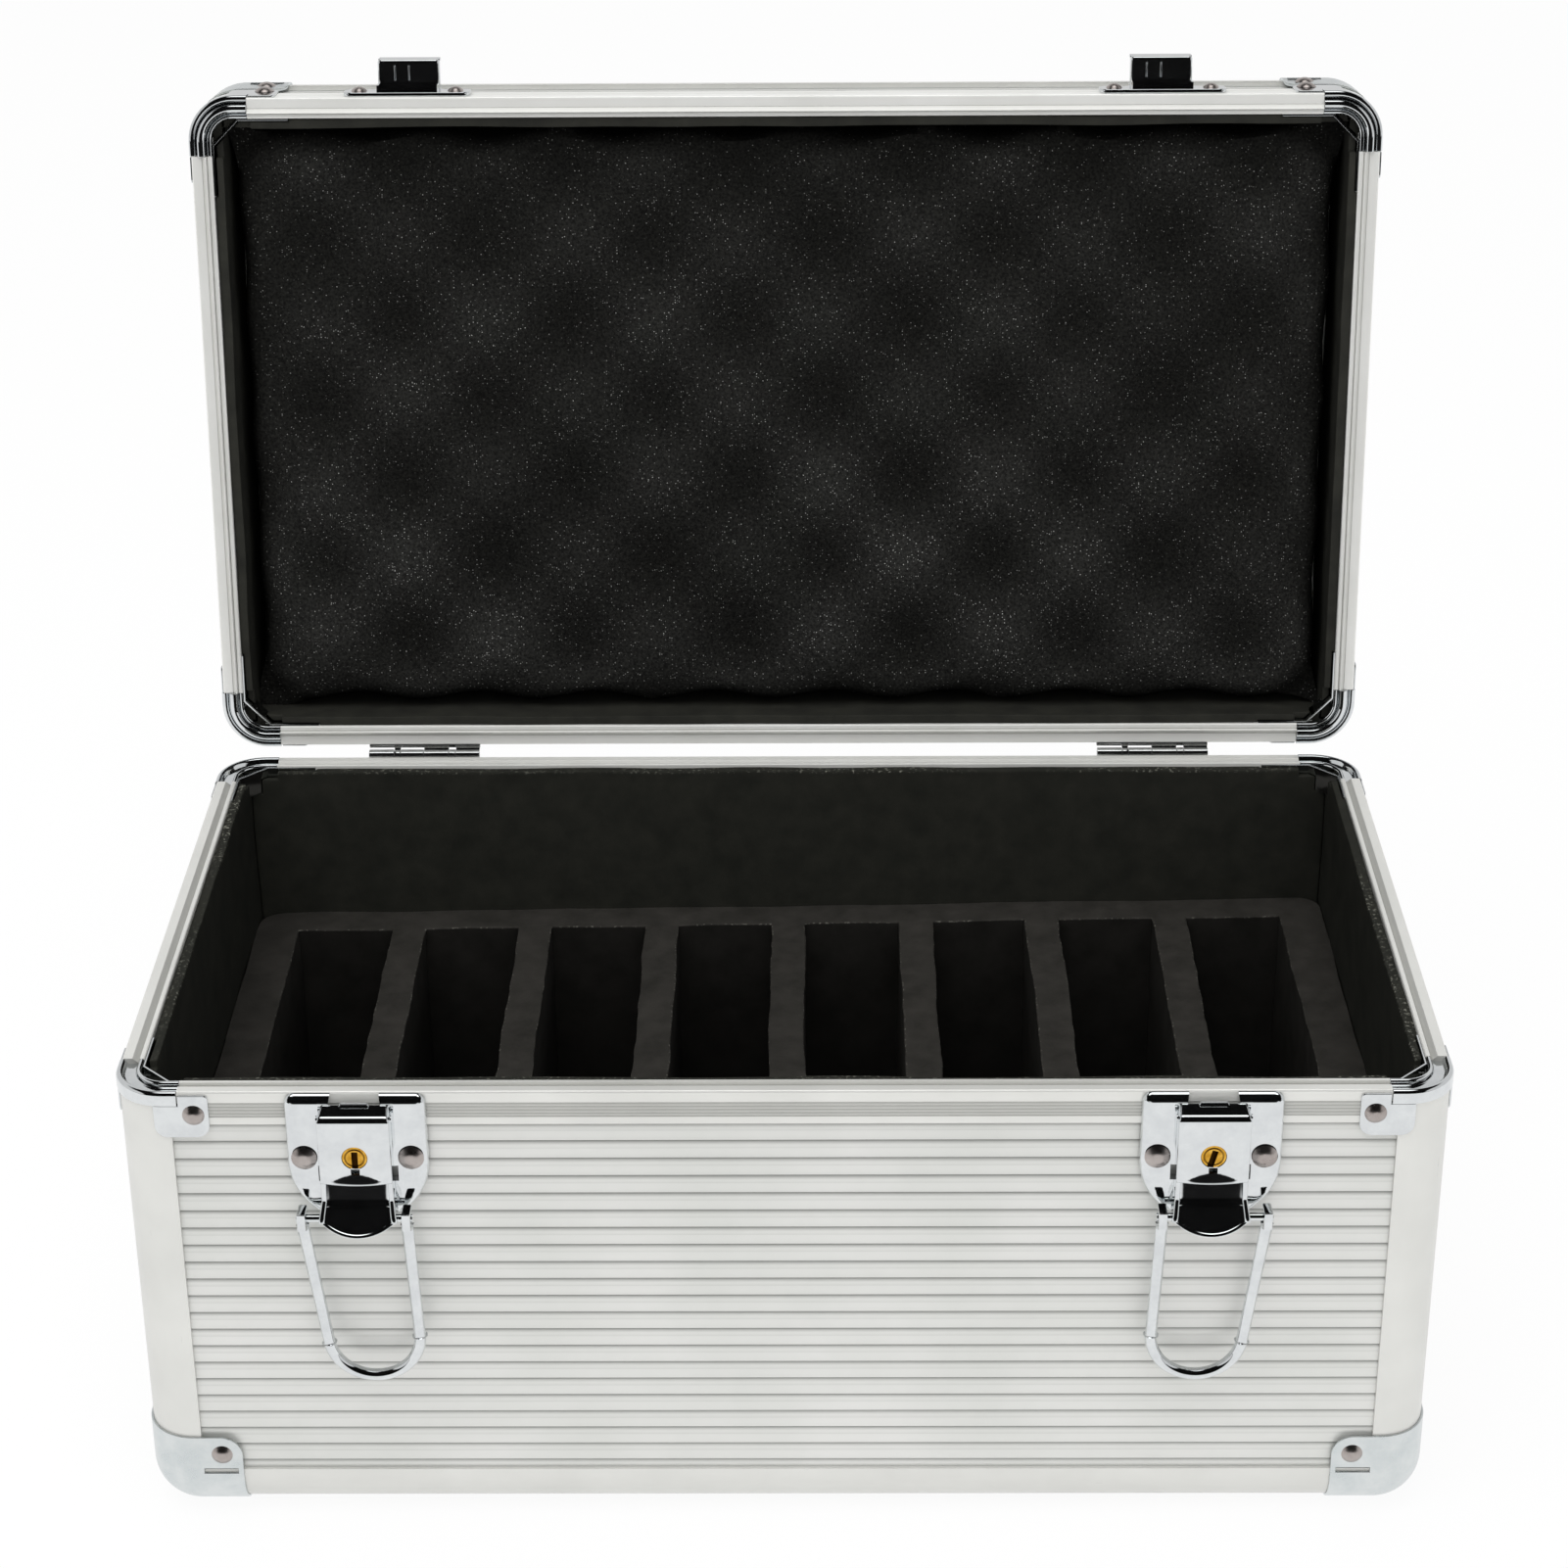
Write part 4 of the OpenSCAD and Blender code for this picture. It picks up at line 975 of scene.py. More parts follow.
crest = shape.verts.layers.float.new("hill")
spread = shut_box("lid_lining")[1].x - LINING_DEPTH - high.x - LINING_GAP
for v in shape.verts:
    past_x = abs(v.co.x) - (high.x - PAD_CORNER)
    past_y = abs(v.co.y - middle_y) - (size.y / 2 - PAD_CORNER)
    reach = math.hypot(past_x, past_y)
    edge = min(high.x - abs(v.co.x), size.y / 2 - abs(v.co.y - middle_y))
    if past_x > 0 and past_y > 0:
        edge = PAD_CORNER - reach
        pull = min(1, PAD_CORNER / reach) - 1
        v.co.x += math.copysign(past_x * pull, v.co.x)
        v.co.y += math.copysign(past_y * pull, v.co.y - middle_y)
    if v.co.z > low.z + 1 * MM:
        v.co.x += math.copysign(spread, v.co.x)
        v.co.y += math.copysign(spread, v.co.y - middle_y)
        continue
    x, y = v.co.x, v.co.y
    hill = math.cos(math.pi * (x - HILL_AT[0]) / HILL[0])
    hill *= math.cos(math.pi * (y - HILL_AT[1]) / HILL[1])
    edge = between(edge / PAD_EDGE)
    drop = PAD_DROP * (1 - math.sqrt(1 - (1 - edge) ** 2))
    v.co.z += drop - HILL_RISE * hill * edge
    # The hill attribute is painted light: lighter on the crests, darker towards the soft border where the
    # pad drops, and lighter towards the lid's back edge, which hangs lowest when open.
    fuzz = 0.8 + 0.6 * noise.noise(v.co / (40 * MM))
    painted_light_across = 0.4 + 0.62 * (y - low.y) / size.y
    v[crest] = between((0.5 + 0.38 * hill) * edge * fuzz * painted_light_across)
    wave = BORDER_WAVE[1] * math.sin(2 * math.pi * (x + y) / BORDER_WAVE[0]) * (1 - edge)
    if size.y / 2 - abs(y - middle_y) < high.x - abs(x):
        v.co.y += wave
    else:
        v.co.x += 0.4 * wave
face_outward(shape)
shape.transform(OPENED)
add_piece("egg_crate_pad", shape, "lid_foam")
print("hills", [round(h / MM, 1) for h in HILL], "mm apart, foot spread", round(spread / MM, 1))

# %% [markdown]
# ## Softer edges on the metal
#
# Real stamped and extruded metal has no knife edges: each one is a tiny round that
# catches a line of light. The copies keep the CAD's size and get a bevel of a few tenths
# of a millimetre. The domes of the rivets only lose the point at their top.

# %% Rounded metal
ROUNDS = {
    "post": 0.15, "base_rail": 0.15, "lid_edge_rails": 0.15,
    "ball_corner": 0.25, "hinge": 0.12, "bracket": 0.3,
    "handle": 0.8, "bail": 0.5, "lock_core": 0.1,
}
KEYWAY_DARK = 0.5 * MM
CROWN_EDGES = 8


def round_node(node, width, place=Matrix()):
    """A copy of a metal node with rounded edges; a lock core's keyway gets painted shade."""
    shape = copy_of(node)
    shape.transform(place.inverted())
    count = round_edges(shape, width)
    if "lock_core" in node:
        # Painted shade: the groove attribute darkens the core deeper into the keyway.
        groove = shape.verts.layers.float.new("groove")
        front = min(v.co.y for v in shape.verts)
        for v in shape.verts:
            v[groove] = min((v.co.y - front) / KEYWAY_DARK, 1)
    shape.transform(place)
    add_piece(f"{node}_rounded", shape, node)
    return count


for node in nodes:
    widths = [w for word, w in ROUNDS.items() if word in node]
    if widths and "pin" not in node:
        place = OPENED if node.startswith("lid") else Matrix()
        print(node, round_node(node, widths[0] * MM, place), "edges rounded")
    elif "rivets" in node:
        heads = copy_of(node)
        crowns = [v for v in heads.verts if len(v.link_edges) > CROWN_EDGES]
        bmesh.ops.dissolve_verts(heads, verts=crowns)
        print(node, len(crowns), "crowns smoothed")
        add_piece(f"{node}_smooth", heads, node)

# %% [markdown]
# ## Drawing a stamping
#
# The stamped parts are sheet steel. Each is drawn flat, as an outline with round corners,
# and extruded to the sheet's thickness. A latch's drawing lies in its own frame: along
# the wall, up from the plate's top, and out.

# %% Outlines and plates
LATCH_X = 111.5 * MM
LATCH_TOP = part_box("front_rim_rail")[1].z - 0.3 * MM


def latch_frame(side):
    """Places a drawing of (along, up from the plate's top, out) at a latch."""
    centre = Vector((-LATCH_X if side == "left" else LATCH_X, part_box("front_rim_rail")[0].y, LATCH_TOP))
    return Matrix.Translation(centre) @ Matrix.Rotation(math.pi / 2, 4, "X")


def arc(centre, radius, start, end, count):
    """Points on an arc, in degrees, both ends included."""
    angles = [math.radians(start + (end - start) * k / count) for k in range(count + 1)]
    return [(centre[0] + radius * math.cos(a), centre[1] + radius * math.sin(a)) for a in angles]


def plate_from(points, low, high):
    """A solid plate from an outline in millimetres, between two heights."""
    shape = bmesh.new()
    start = [shape.verts.new((x * MM, y * MM, low * MM)) for x, y in points]
    push(shape, [shape.faces.new(start)], (0, 0, (high - low) * MM))
    face_outward(shape)
    return shape


def block(left, right, bottom, top, low, high):
    """A square plate, between two heights."""
    return plate_from([(left, bottom), (right, bottom), (right, top), (left, top)], low, high)


print("latches stand", LATCH_X / MM, "mm from the middle")

# %% [markdown]
# ## Punching a window
#
# A press punches windows through a stamping. A Boolean is that press: it needs two
# objects for a moment, so the shape and its cutter become objects, the result is read
# back, and both go again.

# %% Carving
def carved(shape, cutters):
    """The shape less the cutters, by a Boolean modifier that is applied at once."""
    things = []
    for name, part in (("body", shape), ("tool", joined(cutters))):
        mesh = bpy.data.meshes.new(name)
        part.to_mesh(mesh)
        part.free()
        thing = bpy.data.objects.new(name, mesh)
        scene.collection.objects.link(thing)
        things.append(thing)
    cut_away = things[0].modifiers.new("cut", "BOOLEAN")
    cut_away.object = things[1]
    cut_away.operation = "DIFFERENCE"
    cut_away.solver = "EXACT"
    bpy.context.view_layer.update()
    result = things[0].evaluated_get(bpy.context.evaluated_depsgraph_get()).to_mesh()
    left = bmesh.new()
    left.from_mesh(result)
    for thing in things:
        mesh = thing.data
        bpy.data.objects.remove(thing)
        bpy.data.meshes.remove(mesh)
    bmesh.ops.remove_doubles(left, verts=left.verts, dist=0.002 * MM)
    return left


sample = carved(block(-5, 5, -5, 5, 0, 1), [block(-2, 2, -2, 2, -1, 2)])
print("a punched sample has", len(sample.faces), "faces")
sample.free()

# %% [markdown]
# ## The rim corners
#
# Each rim corner is one stamping. Its crown follows the rails' profile round the corner,
# with a rolled bead outside and a ridge inside; below the crown hang two tabs with a
# rivet each, and a bent strip crosses the inner corner on the slant. The crown is a
# section that is pushed along one arm, spun a quarter turn and pushed along the other.

# %% Corner stamping
BEND = 13.0
ARM = 17.05
BEAD = [(-0.7, -4.0)] + arc((0.35, -1.05), 1.05, 180, 10, 8)
INNER_EDGE = arc((5.4, -0.7), 0.7, 170, 0, 6) + [(6.1, -3.0), (0.0, -3.0), (0.0, -4.0)]
CROWN_BODY = BEAD + [
    (1.45, -1.0), (1.7, -1.4), (2.2, -1.5), (4.1, -1.5), (4.5, -1.3), (4.68, -0.8)
] + INNER_EDGE
CROWN_LID = BEAD + [(1.6, -1.2), (1.85, -0.7)] + arc((3.1, 0.05), 1.25, 180, 0, 8) + [
    (4.35, -0.7), (4.6, -1.2)
] + INNER_EDGE
TAB = [(10.7, -3.9), (10.7, -10.0)] + arc((14.2, -10.0), 3.5, 180, 270, 6)[1:]
TAB += arc((21.7, -10.0), 3.5, 270, 360, 6) + arc((24.0, -2.1), 1.2, 0, 90, 4)
TAB += [(17.3, -0.9), (17.3, -3.9)]
STRIP = [(29, 6.1), (14, 6.1), (6.1, 14), (6.1, 29), (6.7, 29), (6.7, 14.25), (14.25, 6.7), (29, 6.7)]


def rim_corner(section):
    """A stamped corner round the origin, x and y inwards and z up from the rim's plane."""
    crown = bmesh.new()
    start = [crown.verts.new((ARM * MM, u * MM, v * MM)) for u, v in section]
    _, bend = push(crown, [crown.faces.new(start)], ((BEND - ARM) * MM, 0, 0))
    spun = bmesh.ops.spin(crown, geom=bend, cent=(BEND * MM, BEND * MM, 0), axis=(0, 0, -1),
                          dvec=(0, 0, 0), angle=math.pi / 2, steps=12)["geom_last"]
    bmesh.ops.delete(crown, geom=bend, context="FACES_ONLY")
    last = [item for item in spun if isinstance(item, bmesh.types.BMFace)]
    push(crown, last, (0, (ARM - BEND) * MM, 0))
    bmesh.ops.delete(crown, geom=[f for f in last if f.is_valid], context="FACES_ONLY")
    face_outward(crown)
    round_edges(crown, 0.15 * MM, 2, 50)
    strip = plate_from(STRIP, -8.0, -0.5)
    round_edges(strip, 0.15 * MM)
    parts = [crown, strip]
    for side in (Matrix(), swap_axes(0, 1)):
        tab = plate_from(TAB, 0.0, 0.62)
        round_edges(tab, 0.25 * MM, 3)
        cut(tab, "X", [k * MM for k in (11.2, 11.8, 12.4, 13.0)])
        for v in tab.verts:
            past = max(0, BEND - v.co.x / MM)
            v.co.z -= (BEND - math.sqrt(BEND ** 2 - past ** 2)) * MM
        tab.transform(side @ Matrix.Rotation(math.pi / 2, 4, "X"))
        parts.append(tab)
    return joined(parts)


print("a crown's section has", len(CROWN_BODY), "points on the body,", len(CROWN_LID), "on the lid")

# %% [markdown]
# ## A corner on each corner
#
# One stamping serves all corners: a mirror matrix turns it into each place, and the
# faces are then turned outward again. The lid's ridge goes upside down into the body's
# groove, so its crown has a section of its own.

# %% Rim corners
BEAD_OUT = 0.7 * MM

low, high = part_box("front_left_rim_corner")
corner_x, corner_y = -low.x - BEAD_OUT, -low.y - BEAD_OUT
lid_corners = []
for end_word, end_sign in (("front", -1), ("back", 1)):
    for side, sign in (("left", -1), ("right", 1)):
        shape = rim_corner(CROWN_BODY)
        shape.transform(Matrix.Translation((sign * corner_x, end_sign * corner_y, high.z))
                        @ Matrix.Diagonal((-sign, -end_sign, 1, 1)))
        face_outward(shape)
        add_piece(f"{end_word}_{side}_stamped_corner", shape, f"{end_word}_{side}_rim_corner")
        lid_corner = rim_corner(CROWN_LID)
        spot = Matrix.Translation((sign * corner_x, end_sign * corner_y, rim_plane))
        lid_corner.transform(OPENED @ spot @ Matrix.Diagonal((-sign, -end_sign, -1, 1)))
        lid_corners.append(lid_corner)
shape = joined(lid_corners)
face_outward(shape)
add_piece("lid_stamped_corners", shape, "lid_rim_corners")
print("eight rim corners")

# %% [markdown]
# ## The latch plates
#
# A latch plate is pressed from 1 mm steel. Its rim is rolled back to the wall in a wide
# round, and a notch at the top lets the lever through. It is drawn flat as an outline and
# extruded, its front edges are bevelled, and the top is then bent back further.

# %% Rolled plate
PLATE_RISE = 2.2
ROLL = 1.7
NOTCH_HALF, NOTCH_FOOT = 8.6, -9.7
LOWER_ROUND = ((0, -20.7), 18.5)
TOP_ROUND, TOP_TURN, TOP_END = 2.9, 70, 0.94


def flat_in(edge, axis, place):
    """Whether an edge lies in the plane at a place along an axis."""
    return all(abs(v.co[axis] - place) < 0.02 * MM for v in edge.verts)


def plate_outline():
    """The plate's outline, with the lever's notch at the top and a half round below."""
    right = [(6.4, -9.6), (8.5, -9.6), (8.5, -4.6), (8.0, -3.6), (7.4, -2.9), (6.9, -1.6), (6.4, 0)]
    right += arc((16.0, -2.5), 2.5, 90, 0, 6) + [(18.5, -12)] + arc(*LOWER_ROUND, 0, -90, 24)
    return right + [(-x, y) for x, y in reversed(right[:-1])]


def rolled_plate():
    """The plate with its rolled rim, before its face is pressed."""
    shape = plate_from(plate_outline(), 0.02, PLATE_RISE)
    front = [e for e in shape.edges if flat_in(e, 2, PLATE_RISE * MM)]
    inner = [e for e in front if all(
        abs(v.co.x) < NOTCH_HALF * MM and NOTCH_FOOT * MM < v.co.y < 0.1 * MM for v in e.verts)]
    bevel(shape, [e for e in front if e not in inner], ROLL * MM, 8)
    bevel(shape, [e for e in inner if e.is_valid], 0.3 * MM, 3)
    for v in shape.verts:
        x, y = abs(v.co.x) / MM, v.co.y / MM
        if y < -ROLL - 0.05 or v.co.z < (PLATE_RISE - ROLL) * MM - 1e-6 or x < 6.3:
            continue
        turn = math.asin(between(1 + y / ROLL)) * TOP_TURN / 90
        share = between((17.6 - x) / 1.5)
        v.co.y += share * (TOP_ROUND * (math.sin(turn) - TOP_END) - y) * MM
        v.co.z += share * (PLATE_RISE - TOP_ROUND * (1 - math.cos(turn)) - v.co.z / MM) * MM
    return shape


print("a plate's outline has", len(plate_outline()), "points")

# %% [markdown]
# ## Pressing the plate's face
#
# The press also sinks a dimple round each rivet and a shallow trough beside the lever,
# punches two slits below it, and folds two ears inside. A bump in the material wouldn't
# show in the mirror of the chrome, so a fine net of cuts gives the face enough points,
# and these are moved.

# %% Latch plates
RIVETS = ((-14.0, -18.6), (14.0, -18.6))
DIMPLE_RADIUS, DIMPLE = 4.2, 0.35
TROUGH_X, TROUGH = 12.6, 0.12
EAR = [(2.0, -15), (2.2, -15), (6.1, -5.8), (5.4, -4.4), (3.6, -4.4), (2.0, -9)]


def latch_plate():
    """The pressed plate with its slits, dimples and ears, drawn in the latch frame."""
    shape = rolled_plate()
    shape = carved(shape, [block(x - 0.6, x + 0.6, -25.6, -21, -1, 5) for x in (-9.9, 9.9)])
    cut(shape, "X", [k * 0.6 * MM for k in range(-30, 31)])
    cut(shape, "Y", [-k * 0.6 * MM for k in range(1, 65)])
    for v in shape.verts:
        if v.co.z < 0.6 * MM:
            continue
        x, y = v.co.x / MM, v.co.y / MM
        for at in RIVETS:
            v.co.z -= DIMPLE * MM / (1 + math.exp((math.dist((x, y), at) - DIMPLE_RADIUS) / 0.4))
        trough = math.exp(-((abs(x) - TROUGH_X) / 2.2) ** 2)
        inside = between((16.4 - math.dist((x, y), LOWER_ROUND[0])) / 4)
        v.co.z -= TROUGH * MM * trough * inside / (1 + math.exp((y + 24) / 1.5))
    for x in (-7.8, 7.8):
        ear = plate_from(EAR, -0.6, 0.6)
        round_edges(ear, 0.2 * MM)
        ear.transform(Matrix.Translation((x * MM, 0, 0)) @ Matrix.Rotation(-math.pi / 2, 4, "Y"))
        shape = joined([shape, ear])
    return shape


for side in ("left", "right"):
    shape = latch_plate()
    shape.transform(latch_frame(side))
    piece = add_piece(f"{side}_pressed_plate", shape, f"{side}_latch_plate")
    print(piece.name, len(piece.data.polygons), "faces")

# %% [markdown]
# ## The levers
#
# The lever is one strip, bent. Its head lies almost level, rolls over a wide round into
# the flat face with the keyhole, and ends in a folded edge. Seen from the side that is
# one outline, so it is drawn from the side and extruded across.

# %% Lever's face
LEVER_HALF = 9.4
LEVER_FACE = 7.6
CORE_Y = -15.3
KEYHOLE_ROUND = 3.4


def bar_across(points, half):
    """A section of (out, up) extruded along X to both sides."""
    shape = plate_from(points, -half, half)
    shape.transform(Matrix.Rotation(-math.pi / 2, 4, "Y") @ Matrix.Diagonal((1, 1, -1, 1)))
    face_outward(shape)
    return shape


def lever_face():
    """The bent strip: level head, wide round, flat face with the keyhole, folded edge."""
    outer = [(1.9, -2.3)] + arc((5.75, -5.1), 1.85, 76, 0, 8) + [(LEVER_FACE, -22.9)]
    inner = [(6.4, -23.4), (6.4, -5.4), (5.2, -4.5), (1.9, -3.4)]
    face = bar_across(outer + [(7.4, -23.4)] + inner, LEVER_HALF)
    keyhole = arc((0, CORE_Y), KEYHOLE_ROUND, -70, 250, 32) + [(-1.15, -20.3), (1.15, -20.3)]
    face = carved(face, [plate_from(keyhole, 3, 12)])
    for v in face.verts:
        v.co.x *= 1 - 0.1 * between((v.co.y / MM + 4.4) / 2.4)
    round_edges(face, 0.4 * MM, 3, 40, lambda e: all(
        math.dist(v.co.xy, (0, CORE_Y * MM)) > 5.5 * MM for v in e.verts))
    cut(face, "X", [k * 0.8 * MM for k in range(-11, 12)])
    cut(face, "Y", [(-17.5 - k * 0.4) * MM for k in range(13)])
    for v in face.verts:
        x, y = v.co.x / MM, v.co.y / MM
        below = max(0, -18.6 - 4.0 * (x / 8.5) ** 2 - y)
        v.co.z += (0.07 * below ** 2 if below < 2 else 0.28 * below - 0.28) * MM
    return face


print("lever face", 2 * LEVER_HALF, "mm wide, its keyhole", 2 * KEYHOLE_ROUND, "mm")

# %% [markdown]
# ## The lever's scoop
#
# Behind the folded edge a scoop starts deep and runs out into the lip that a finger
# lifts. It looks up into the dark of the room, so it is black although it is the same
# chrome. No flat outline gives such a bowl: a grid is laid along it by a formula, and
# then thickened.

# %% Lever's scoop
LIP_ROUND = ((0, -20.6), 16.2)
LIP_LOW, LIP_CLIMB = -30.4, 6.4
LIP_RISE = 5.5


def lever_scoop():
    """The hollow lip, from deep behind the folded edge out to the finger's edge."""
    scoop = bmesh.new()
    bmesh.ops.create_grid(scoop, x_segments=40, y_segments=40, size=1)
    for v in scoop.verts:
        along = (1 - v.co.y) / 2
        half = 8.3 + 0.9 * along ** 2
        x = v.co.x * half
        bottom = LIP_ROUND[0][1] - math.sqrt(LIP_ROUND[1] ** 2 - x * x)
        bend = max(0, along - 0.5) * 2
        up = -23.2 - 7.2 * min(along * 2, 1) + bend * (bottom - LIP_LOW)
        out = 4.3 + 1.9 * min(along * 2, 1) - bend * LIP_RISE * (bottom - LIP_LOW) / LIP_CLIMB
        out += 0.35 * math.exp(-((along - 0.5) / 0.035) ** 2)
        out += 0.5 * max(0, (abs(x) - half + 1.8) / 1.8) ** 2
        v.co = Vector((x, up, out)) * MM
    bmesh.ops.smooth_vert(scoop, verts=scoop.verts, factor=0.5, use_axis_y=True, use_axis_z=True)
    face_outward(scoop)
    if sum(f.normal.z for f in scoop.faces) < 0:
        bmesh.ops.reverse_faces(scoop, faces=scoop.faces)
    bmesh.ops.solidify(scoop, geom=scoop.faces[:], thickness=1.0 * MM)
    face_outward(scoop)
    round_edges(scoop, 0.35 * MM, 3, 50)
    return scoop


print("the lip's round has a radius of", LIP_ROUND[1], "mm")

# %% [markdown]
# ## The lever's sides and lip
#
# A folded wall closes each side and flares out to the lip, whose edge is rolled into a
# bead. The bead is a small circle that is spun about the lip's centre, which is shorter
# than a curve and keeps a round section. A tongue tucks under the plate's notch.

# %% Levers
TONGUE = [(-4.2, -3.0), (4.2, -3.0), (3.6, -1.6), (-3.6, -1.6)]
SIDE_WALL = [
    (2.7, -4.6), (6.9, -4.8), (6.9, -23), (7.0, -29.0), (9.4, -32.0), (9.9, -34.2), (8.3, -34.4),
    (4.4, -33), (2.7, -29),
]


def lever_side(x):
    """One folded side wall, which flares out to the lip's width."""
    wall = bar_across(SIDE_WALL, 0.65)
    round_edges(wall, 0.4 * MM, 3)
    for v in wall.verts:
        v.co.x *= 1 + 0.09 * between((-26 - v.co.y / MM) / 6)
    wall.transform(Matrix.Translation((x * MM, 0, 0)))
    for v in wall.verts:
        v.co.x *= 1 + 0.085 * between((-27 - v.co.y / MM) / 6) ** 2
    return wall


def lip_bead():
    """The round bead along the lip's edge: a small circle spun about the lip's centre."""
    bead = bmesh.new()
    bmesh.ops.create_circle(bead, cap_ends=True, segments=12, radius=0.5 * MM)
    bead.transform(Matrix.Rotation(math.radians(-36.5), 4, "Z") @ Matrix.Translation(
        (0, -LIP_ROUND[1] * MM, 0)) @ Matrix.Rotation(math.pi / 2, 4, "Y"))
    bmesh.ops.spin(bead, geom=bead.faces[:], cent=(0, 0, 0), axis=(0, 0, 1), dvec=(0, 0, 0),
                   angle=math.radians(73), steps=24)
    face_outward(bead)
    for v in bead.verts:
        v.co.y += LIP_ROUND[0][1] * MM
        v.co.z += (5.9 - LIP_RISE * (v.co.y / MM - LIP_LOW) / LIP_CLIMB) * MM
    return bead


def lever():
    """The bent lever with its scoop, side walls and bead, drawn in the latch frame."""
    tongue = plate_from(TONGUE, 2.2, 2.9)
    round_edges(tongue, 0.25 * MM, 3)
    return joined([lever_face(), lever_scoop(), tongue, lever_side(-8.75), lever_side(8.75), lip_bead()])


for side in ("left", "right"):
    shape = lever()
    shape.transform(latch_frame(side))
    piece = add_piece(f"{side}_bent_lever", shape, f"{side}_latch_lever")
    print(piece.name, len(piece.data.polygons), "faces")

# %% [markdown]
# ## The catches
#
# The bail hooks over a catch on the lid's front. It is a stamped plate with a shelf that
# stands out from it: the shelf's edge is folded all round into a shallow tray, two small
# ribs stiffen the tray's floor, and a lip behind it keeps the wire from slipping off.

# %% Catches
CATCH_X = 111.0 * MM
TRAY_HALF, TRAY_OUT, TRAY_FOOT = 9.15, 9.6, 10.0
HOLLOW = (-8.1, 8.1, 2.5, 8.5)


def catch():
    """The catch in a frame of (along, up from the rim, out of the lid's front)."""
    foot = arc((-16.15, 3.7), 2.5, 270, 180, 5) + arc((-16.15, 6.7), 2.5, 180, 90, 5)
    foot += arc((-12.35, 11.2), 3.2, 220, 360, 6) + [(-TRAY_HALF, 15.3)]
    foot += [(-x, y) for x, y in reversed(foot)]
    base = plate_from(foot, 0.0, 1.2)
    round_edges(base, 0.3 * MM, 3)
    tray = block(-TRAY_HALF, TRAY_HALF, 0.2, TRAY_OUT, TRAY_FOOT, 12.7)
    round_edges(tray, 1.1 * MM, 5, 60, lambda e: rise(e) > MM)
    tray = carved(tray, [block(*HOLLOW, 5, 11.7)])
    folded = [
        e for e in tray.edges if flat_in(e, 2, TRAY_FOOT * MM) and len(e.link_faces) == 2
        and e.calc_face_angle(0) > 1 and not all(
            abs(v.co.x) < 8.2 * MM and 2.4 * MM < v.co.y < 8.6 * MM for v in e.verts)
    ]
    bevel(tray, folded, 0.95 * MM, 6)
    lip = block(-TRAY_HALF, TRAY_HALF, 8.6, TRAY_OUT, 12.4, 15.9)
    round_edges(lip, 0.3 * MM, 3)
    ribs = [block(x - 0.3, x + 0.3, 3.2, 7.8, 11.2, 12.0) for x in (-4.2, 0)]
    for rib in ribs:
        round_edges(rib, 0.28 * MM, 3)
    whole = joined([tray, lip] + ribs)
    whole.transform(swap_axes(1, 2))
    for x in (-8.9, 8.3):
        web = block(x, x + 0.6, 0.4, 3.0, -11.0, -3.5)
        web.transform(Matrix.Rotation(math.pi / 2, 4, "X"))
        whole = joined([whole, web])
    return joined([whole, base])


for side, sign in (("left", -1), ("right", 1)):
    shape = catch()
    place = Matrix.Translation((sign * CATCH_X, -corner_y, rim_plane))
    shape.transform(OPENED @ place @ Matrix.Rotation(math.pi / 2, 4, "X"))
    face_outward(shape)
    piece = add_piece(f"{side}_stamped_catch", shape, f"{side}_catch")
    print(piece.name, len(piece.data.polygons), "faces")

# %% [markdown]
# ## The table
#
# The case stands on white paper. A lit floor alone would turn grey far away, so to the
# eye most of its brightness is its own glow, and the rest takes the case's soft shadow.
# Metal mirrors the paper too, and there it ends a little in front of the case. It shows
# from above only, so that the case can be seen from below.

# %% Table
TABLE_HALF = 6
floor = bpy.data.objects.new("floor", bpy.data.meshes.new("floor"))
shape = bmesh.new()
bmesh.ops.create_grid(shape, x_segments=1, y_segments=1, size=TABLE_HALF)
bmesh.ops.translate(shape, verts=shape.verts, vec=(0, 0, -0.1 * MM))
shape.to_mesh(floor.data)
shape.free()
scene.collection.objects.link(floor)

paper, tree, shader, place = new_material(
    "white_paper", Base_Color=colour("#f2f2f2"), Roughness=1.0, Specular_IOR_Level=0)
rays = add(tree, "ShaderNodeLightPath")
share = add(tree, "ShaderNodeMath", {
    0: rays.outputs["Is Camera Ray"], 1: 0.92, 2: rays.outputs["Is Glossy Ray"]
}, operation="MULTIPLY_ADD")
ahead = add(tree, "ShaderNodeSeparateXYZ", {"Vector": place})
paper_end = add(tree, "ShaderNodeMapRange", {
    "Value": ahead.outputs["Y"], "From Min": -0.6, "From Max": -1.2, "To Min": 0.92, "To Max": 0.01
}, interpolation_type="SMOOTHSTEP")
mirrored = add(tree, "ShaderNodeMix", {
    "Factor": rays.outputs["Is Glossy Ray"], "A": 1.0, "B": paper_end.outputs["Result"]
}, data_type="FLOAT")
glow = add(tree, "ShaderNodeEmission", {
    "Color": (1, 1, 1, 1), "Strength": mirrored.outputs["Result"]
})
both = add(tree, "ShaderNodeMixShader", {
    0: share.outputs["Value"], 1: shader.outputs["BSDF"], 2: glow.outputs["Emission"]
})
side_seen = add(tree, "ShaderNodeNewGeometry")
clear = add(tree, "ShaderNodeBsdfTransparent")
table = add(tree, "ShaderNodeMixShader", {
    0: side_seen.outputs["Backfacing"], 1: both.outputs["Shader"], 2: clear.outputs["BSDF"]
})
wire(tree, tree.nodes["Material Output"], {"Surface": table.outputs["Shader"]})
floor.data.materials.append(paper)
print("table", 2 * TABLE_HALF, "m wide")

